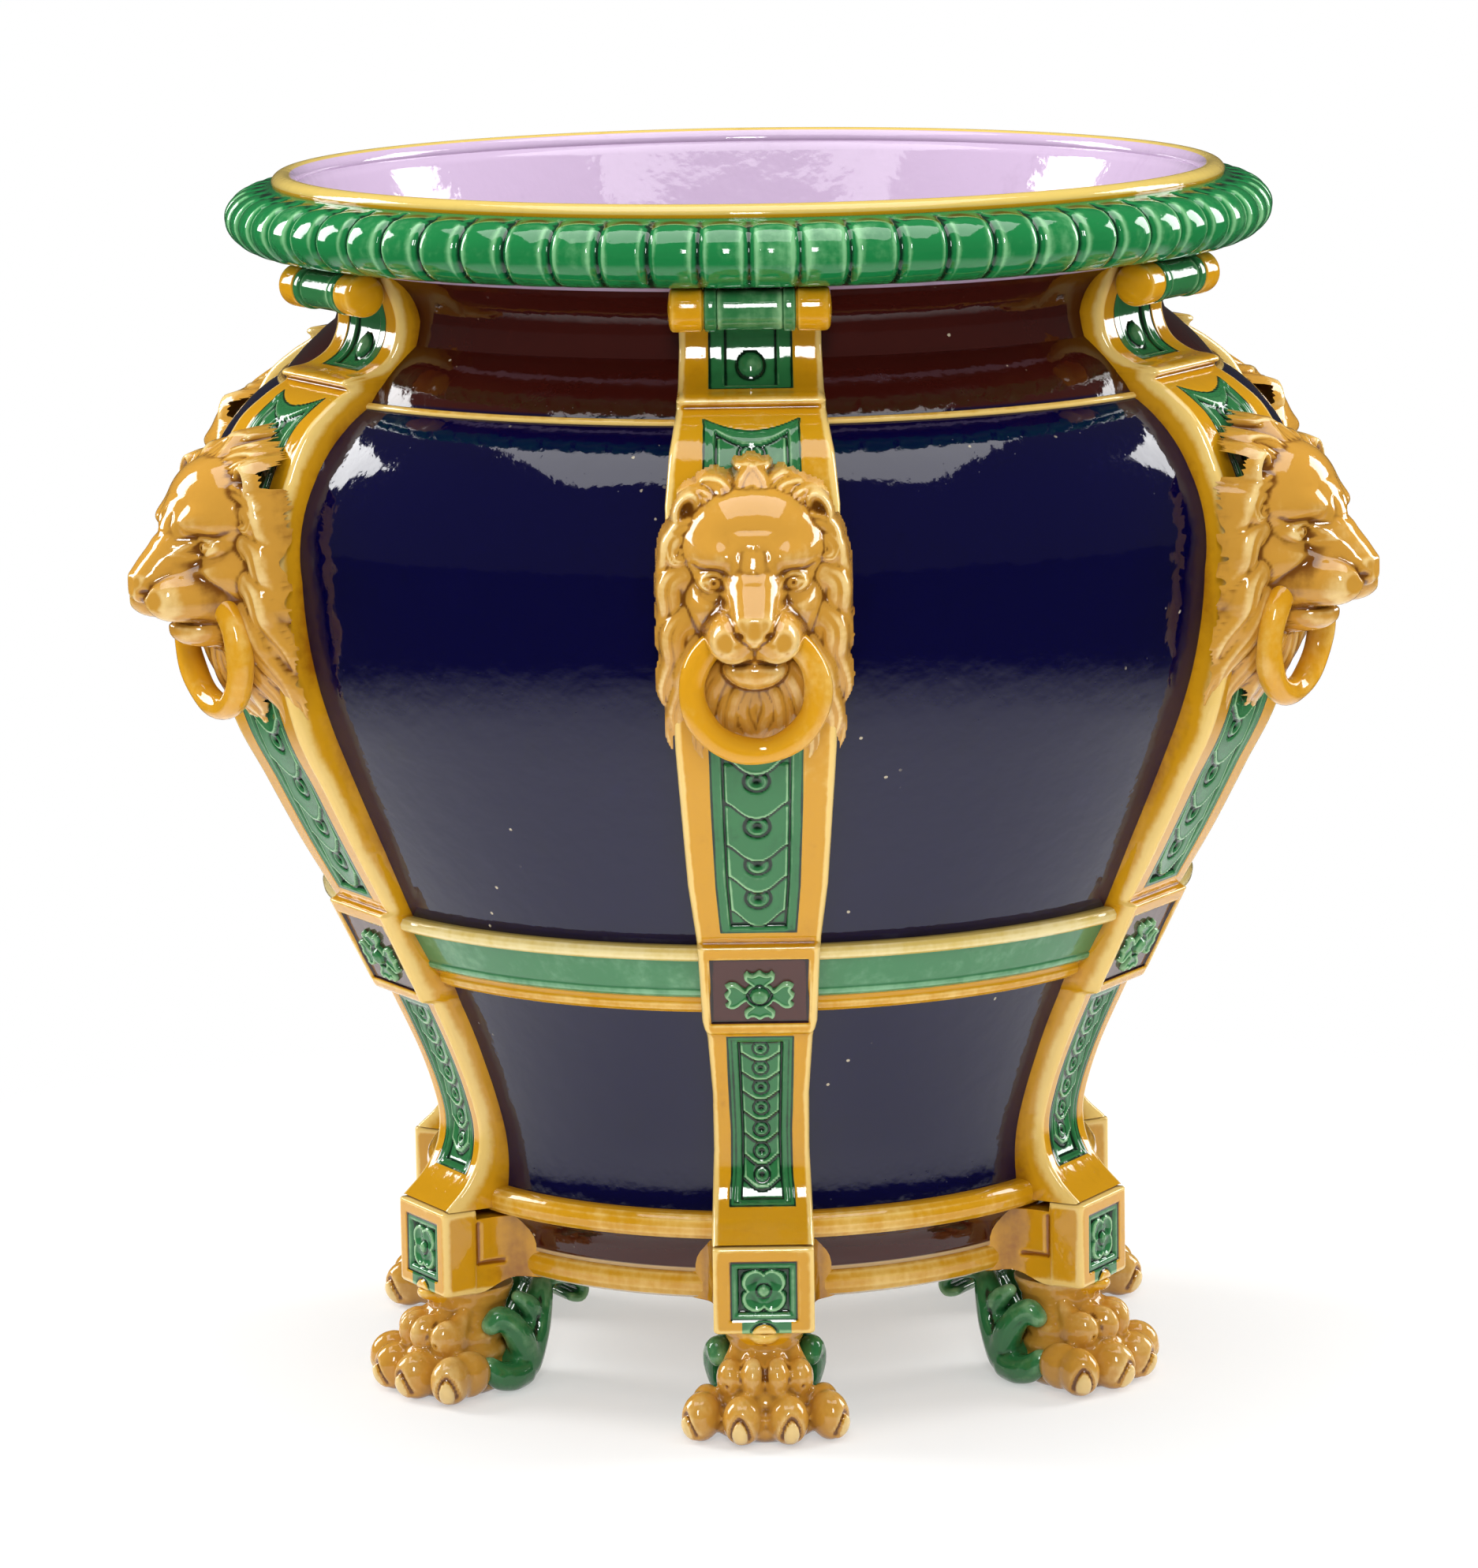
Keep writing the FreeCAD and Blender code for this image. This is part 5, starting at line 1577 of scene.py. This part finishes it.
@dataclass
class LionPaw(Assembly):
    """A paw with four knuckles over four clawed toes."""

    toes: Line = ((169.5, 9.2, 7.9, 8.0), (162.5, 25.5, 7.4, 48.0))
    knuckles: Line = ((161.5, 4.9, 25.0, 9.0, 5.2, 8.6), (157.0, 14.0, 24.2, 8.8, 5.6, 8.0))

    def lumps(self) -> bmesh.types.BMesh:
        """The paw's masses."""
        bm = bmesh.new()
        for z, x, long, wide in ((42.0, 141.0, 20.0, 17.6), (38.5, 140.5, 18.0, 16.0),
                                 (34.0, 140.5, 16.5, 14.2),
                                 (29.0, 142.5, 17.5, 15.4), (23.0, 145.0, 19.5, 18.0),
                                 (16.0, 147.0, 22.0, 20.6),
                                 (9.0, 148.0, 23.5, 22.4), (4.5, 148.5, 23.5, 22.4)):
            ball(bm, (x, 0, z), (long, wide, 7.5))
        for side in (-1, 1):
            for x, y, radius, turn in self.toes:
                ball(bm, (x, side * y, 10.0), (10.2, radius + 0.3, 10.2), 8.0, side * turn * 0.5)
                ball(bm, (x - 9.0, side * y * 0.92, 11.0), (10.0, radius * 0.9, 10.0))
            for x, y, z, long, wide, tall in self.knuckles:
                ball(bm, (x, side * y, z), (long, wide, tall), -20.0)
                chain(bm, [(x - 3.0, side * y, z + 2.0, 4.8), (x - 8.0, side * y * 0.84, z + 9.0, 3.2),
                           (x - 10.0, side * y * 0.74, z + 15.0, 2.0)], 5)
        ball(bm, (158.6, 0, 41.4), (5.2, 6.0, 3.2))
        return bm

    def claws(self, skin: Skin) -> None:
        """Cuts a sheath round each claw and raises the claw in it."""
        for side in (-1, 1):
            for x, y, radius, turn in self.toes:
                facing = math.radians(side * turn)
                out = np.array([math.cos(facing), math.sin(facing), -0.18])
                out /= np.linalg.norm(out)
                right = np.array([-math.sin(facing), math.cos(facing), 0.0])
                up = np.cross(right, out) * -1
                up = up if up[2] > 0 else -up
                local = skin.points - np.array([x, side * y, 7.8])
                a, b, depth = local @ right, local @ up, local @ out
                q = np.hypot(a / (3.5 - 0.1 * b), b / 5.8)
                near = step(2.0, 5.0, depth) * step(radius + 6, radius + 3, np.hypot(a, b))
                sheath = bump(q - 1.12, 0.2) * step(-4.6, -2.0, b) * near
                claw = np.sqrt(np.clip(1 - q ** 2, 0, 1)) * near
                skin.points += skin.normals * (0.9 * claw - 1.5 * sheath)[:, None]
                # Painted shade in the sheath and a painted highlight on the claw, with gathered glaze.
                skin.ink += 1.3 * sheath - 0.5 * claw

    def build(self) -> None:
        """Models the paw once and sets it at every station."""
        bm = as_one(self.lumps(), 1.0, 5)
        skin = Skin(bm)
        self.claws(skin)
        for side in (-1, 1):
            skin.stroke([(178.0, side * 17.0, 16.0), (172.0, side * 17.0, 21.0),
                         (163.0, side * 15.0, 22.5)], 0.9, -1.0, 0.8)
            skin.stroke([(168.0, side * 0.2, 24.0), (163.0, side * 0.4, 31.0), (158.0, side * 0.6, 38.0)],
                        0.9, -0.9, 0.6)
            skin.stroke([(166.0, side * 9.6, 24.0), (161.0, side * 9.4, 30.0), (156.0, side * 8.4, 36.0)],
                        0.9, -0.9, 0.5)
        skin.stroke([(178.0, 0.0, 6.0), (180.0, 0.0, 13.0), (176.0, 0.0, 19.0)], 1.0, -0.8, 0.8)
        z = skin.points[:, 2]
        skin.points[:, 2] = np.clip(z, 0.0, 43.0)
        skin.points[:, 0] = np.minimum(skin.points[:, 0], 181.0)
        # Painted shade at the foot of the paw, next to the floor.
        skin.ink += 0.5 * step(5.0, 0.5, skin.points[:, 2])
        skin.put_back()
        boss = zone_by(bm, lambda p: step(155.0, 157.0, p[:, 0]) * step(36.5, 38.5, p[:, 2]))
        made = self.piece(bm, "paw_1", "paw_foot_1", "tan_glaze", self.shop.finish("paw_tan", [TAN, YELLOW]),
                          skin.ink, 0.5, 4.0)
        painted(made.data, Zone.FIRST.value, boss)
        self.round_the_pot(made, "paw", "paw_foot", "tan_glaze")


@dataclass
class Acanthus(Assembly):
    """The leaf that wraps the heel and curls under the pot."""

    def build(self) -> None:
        """Models the leaf once and sets it at every station."""
        bm = bmesh.new()
        for side in (-1, 1):
            chain(bm, [(111.0, side * 8.0, 39.0, 5.2), (113.5, side * 10.0, 32.0, 6.4),
                       (118.0, side * 12.0, 21.0, 8.0),
                       (123.5, side * 13.5, 11.0, 9.0), (129.0, side * 15.0, 6.0, 7.8)], 6)
            chain(bm, [(122.0, side * 15.0, 12.0, 7.0), (126.0, side * 18.0, 20.0, 6.6),
                       (130.5, side * 19.2, 27.0, 6.0),
                       (136.0, side * 18.6, 31.0, 5.4), (140.0, side * 18.4, 28.5, 4.4)], 6)
            chain(bm, [(116.0, side * 12.0, 28.0, 5.6), (121.0, side * 15.0, 34.0, 4.6),
                       (126.0, side * 15.6, 38.0, 3.0)], 5)
            chain(bm, [(126.0, side * 17.0, 7.0, 7.0), (133.0, side * 21.0, 6.5, 6.4),
                       (139.5, side * 22.6, 8.5, 6.0),
                       (143.0, side * 22.4, 12.6, 4.2)], 6)
        chain(bm, [(109.0, 0, 39.0, 5.0), (112.0, 0, 31.0, 6.6), (117.0, 0, 20.0, 8.0), (122.0, 0, 10.0, 8.4),
                   (126.0, 0, 5.0, 7.0)], 6)
        for y in np.linspace(-9.0, 9.0, 10):
            chain(bm, [(112.0, y, 40.6, 2.4), (104.0, y, 41.0, 2.2), (96.0, y, 39.6, 2.3),
                       (91.2, y, 35.8, 2.4),
                       (93.0, y, 32.0, 2.4), (97.4, y, 32.6, 2.2)], 4)
        bm = as_one(bm, 0.95, 3)
        skin = Skin(bm)
        for side in (-1, 1):
            skin.stroke([(114.0, side * 14.0, 38.0), (119.0, side * 19.0, 24.0), (125.0, side * 21.0, 12.0),
                         (132.0, side * 22.0, 3.0)], 1.0, -1.1, 0.8)
            skin.stroke([(127.0, side * 22.0, 16.0), (131.0, side * 23.0, 23.5),
                         (136.0, side * 23.2, 28.0)], 1.3, -0.7, 0.35)
            skin.stroke([(118.0, side * 17.0, 29.0), (123.0, side * 18.6, 35.6)], 0.8, -0.7, 0.6)
            skin.stroke([(131.0, side * 24.0, 5.0), (137.0, side * 27.0, 7.0), (141.0, side * 27.0, 11.0)],
                        1.3, -0.7, 0.35)
            skin.stroke([(120.0, side * 19.0, 15.0), (125.0, side * 21.0, 23.0),
                         (126.6, side * 21.0, 30.0)], 0.9, -0.8, 0.6)
        skin.stroke([(108.0, 0, 34.0), (112.0, 0, 22.0), (117.0, 0, 10.0)], 1.2, -0.9, 0.7)
        points = skin.points
        points[:, 2] = np.clip(points[:, 2], 0.0, 43.0)
        skin.put_back()
        made = self.piece(bm, "heel_leaf_1", "acanthus_leaf_1", "green_glaze",
                          self.shop.finish("leaf_green", [LEAF]),
                          skin.ink, 0.45, 3.6)
        self.round_the_pot(made, "heel_leaf", "acanthus_leaf", "green_glaze")


# ------------------------------------------------------------------ studio
@dataclass
class Studio:
    """The camera, the lamps and the pale sweep behind the pot."""

    camera_at: tuple[float, float, float] = (0.0, -2.7092, 0.7168)
    pitch: float = 0.1752
    yaw: float = -0.0027
    roll: float = -0.0148
    focal_pixels: float = 8359.8
    frame_height: float = 1988.0

    def camera(self) -> None:
        """Puts the camera where the photograph was taken from."""
        ahead = Vector((math.sin(self.yaw) * math.cos(self.pitch), math.cos(self.yaw) * math.cos(self.pitch),
                        -math.sin(self.pitch)))
        right = Vector((math.cos(self.yaw), -math.sin(self.yaw), 0.0))
        up = right.cross(ahead)
        across = right * math.cos(self.roll) + up * math.sin(self.roll)
        upright = up * math.cos(self.roll) - right * math.sin(self.roll)
        data = bpy.data.cameras.new("camera")
        data.sensor_width = 36.0
        data.lens = self.focal_pixels / self.frame_height * 36.0
        camera = bpy.data.objects.new("camera", data)
        turn = Matrix((across, upright, -ahead)).transposed().to_4x4()
        camera.matrix_world = Matrix.Translation(self.camera_at) @ turn
        bpy.context.scene.collection.objects.link(camera)
        bpy.context.scene.camera = camera

    @staticmethod
    def lamp(name: str, at: Sequence[float], size: tuple[float, float], power: float) -> None:
        """Hangs a soft rectangular lamp that faces the pot.

        Args:
            name: Its name.
            at: Where it hangs.
            size: Its width and height.
            power: Its power in watts.
        """
        data = bpy.data.lights.new(name, "AREA")
        data.shape = "RECTANGLE"
        data.size, data.size_y = size
        data.energy = power
        lamp = bpy.data.objects.new(name, data)
        aim = Vector((0, 0, 0.28)) - Vector(at)
        lamp.matrix_world = Matrix.Translation(at) @ aim.to_track_quat("-Z", "Y").to_matrix().to_4x4()
        bpy.context.scene.collection.objects.link(lamp)

    @staticmethod
    def sweep() -> None:
        """The pale floor that curves up into a backdrop."""
        bm = bmesh.new()
        profile = drawn_through([(-4.0, 0.0), (0.0, 0.0), (1.6, 0.0), (2.4, 0.25), (2.9, 1.0), (3.0, 3.0)],
                                12)
        verts = [bm.verts.new((-4.0, y, max(z, 0.0))) for y, z in profile]
        edges = [bm.edges.new(pair) for pair in zip(verts, verts[1:])]
        moved = bmesh.ops.extrude_edge_only(bm, edges=edges)["geom"]
        bmesh.ops.translate(bm, verts=[v for v in moved if isinstance(v, bmesh.types.BMVert)],
                            vec=(8.0, 0, 0))
        bmesh.ops.recalc_face_normals(bm, faces=bm.faces)
        mesh = bpy.data.meshes.new("sweep")
        bm.to_mesh(mesh)
        bm.free()
        for polygon in mesh.polygons:
            polygon.use_smooth = True
        floor = bpy.data.objects.new("sweep", mesh)
        bpy.context.scene.collection.objects.link(floor)
        material = bpy.data.materials.new("sweep_paper")
        material.use_nodes = True
        n = NodeSheet(material.node_tree)
        place = n.add("ShaderNodeTexCoord").outputs["Object"]
        reach = n.add("ShaderNodeVectorMath", {0: place}, operation="LENGTH").outputs["Value"]
        far = n.ramp(reach, 0.30, 0.62)
        rays = n.add("ShaderNodeLightPath")
        seen = n.sums("MAXIMUM", rays.outputs["Is Camera Ray"], rays.outputs["Is Glossy Ray"])
        seen = n.sums("MAXIMUM", seen, rays.outputs["Is Transmission Ray"])
        paper = n.add("ShaderNodeBsdfDiffuse", {"Color": (0.93, 0.93, 0.93, 1.0)})
        white = n.add("ShaderNodeEmission", {"Color": (1.0, 1.0, 1.0, 1.0), "Strength": 1.0})
        share = n.sums("MULTIPLY", seen, n.sums("ADD", 0.45, n.sums("MULTIPLY", far, 0.55)))
        # Painted reflection: seen in the glaze, the paper beyond 0.5 to 0.85 m fades to nearly black, though
        # the camera sees it white.
        dark_in_reflection = n.ramp(reach, 0.50, 0.85)
        dim = n.sums("MULTIPLY", rays.outputs["Is Glossy Ray"], dark_in_reflection)
        glow = n.sums("SUBTRACT", 1.0, n.sums("MULTIPLY", dim, 0.96))
        n.tree.links.new(glow, white.inputs["Strength"])
        both = n.add("ShaderNodeMixShader", {0: share, 1: paper.outputs[0], 2: white.outputs[0]})
        n.add("ShaderNodeOutputMaterial", {"Surface": both.outputs[0]})
        mesh.materials.append(material)

    def build(self) -> None:
        """Sets up the studio."""
        self.camera()
        self.sweep()
        self.lamp("side_left", (-2.05, 0.85, 1.25), (0.9, 1.5), 44.0)
        self.lamp("side_right", (2.05, 0.85, 1.15), (0.9, 1.5), 36.0)
        self.lamp("overhead", (0.0, -0.2, 2.4), (2.5, 1.9), 46.0)
        self.lamp("above_camera", (0.0, -3.0, 1.75), (0.42, 1.1), 34.0)
        world = bpy.data.worlds.new("room")
        world.use_nodes = True
        n = NodeSheet(world.node_tree)
        mirrored = n.add("ShaderNodeLightPath").outputs["Is Glossy Ray"]
        level = n.sums("SUBTRACT", ROOM_LEVEL, n.sums("MULTIPLY", mirrored, ROOM_MIRRORED))
        room = n.add("ShaderNodeBackground", {"Color": (1.0, 0.99, 0.97, 1.0), "Strength": level})
        n.add("ShaderNodeOutputWorld", {"Surface": room.outputs[0]})
        bpy.context.scene.world = world
        bpy.context.scene.view_settings.view_transform = "Standard"


def main() -> None:
    """Loads the frame, builds every sub-assembly and notes the size."""
    logging.basicConfig(level=logging.INFO, format="%(name)s: %(message)s")
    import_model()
    Studio().build()
    shop = GlazeShop()
    for kind in (Pot, Pilaster, TopScroll, WaistFlower, LionMask, MouthRing, FootBlock, LionPaw, Acanthus):
        kind(shop).build()
        LOG.info("%s done", kind.__name__)


if __name__ == "__main__":
    main()
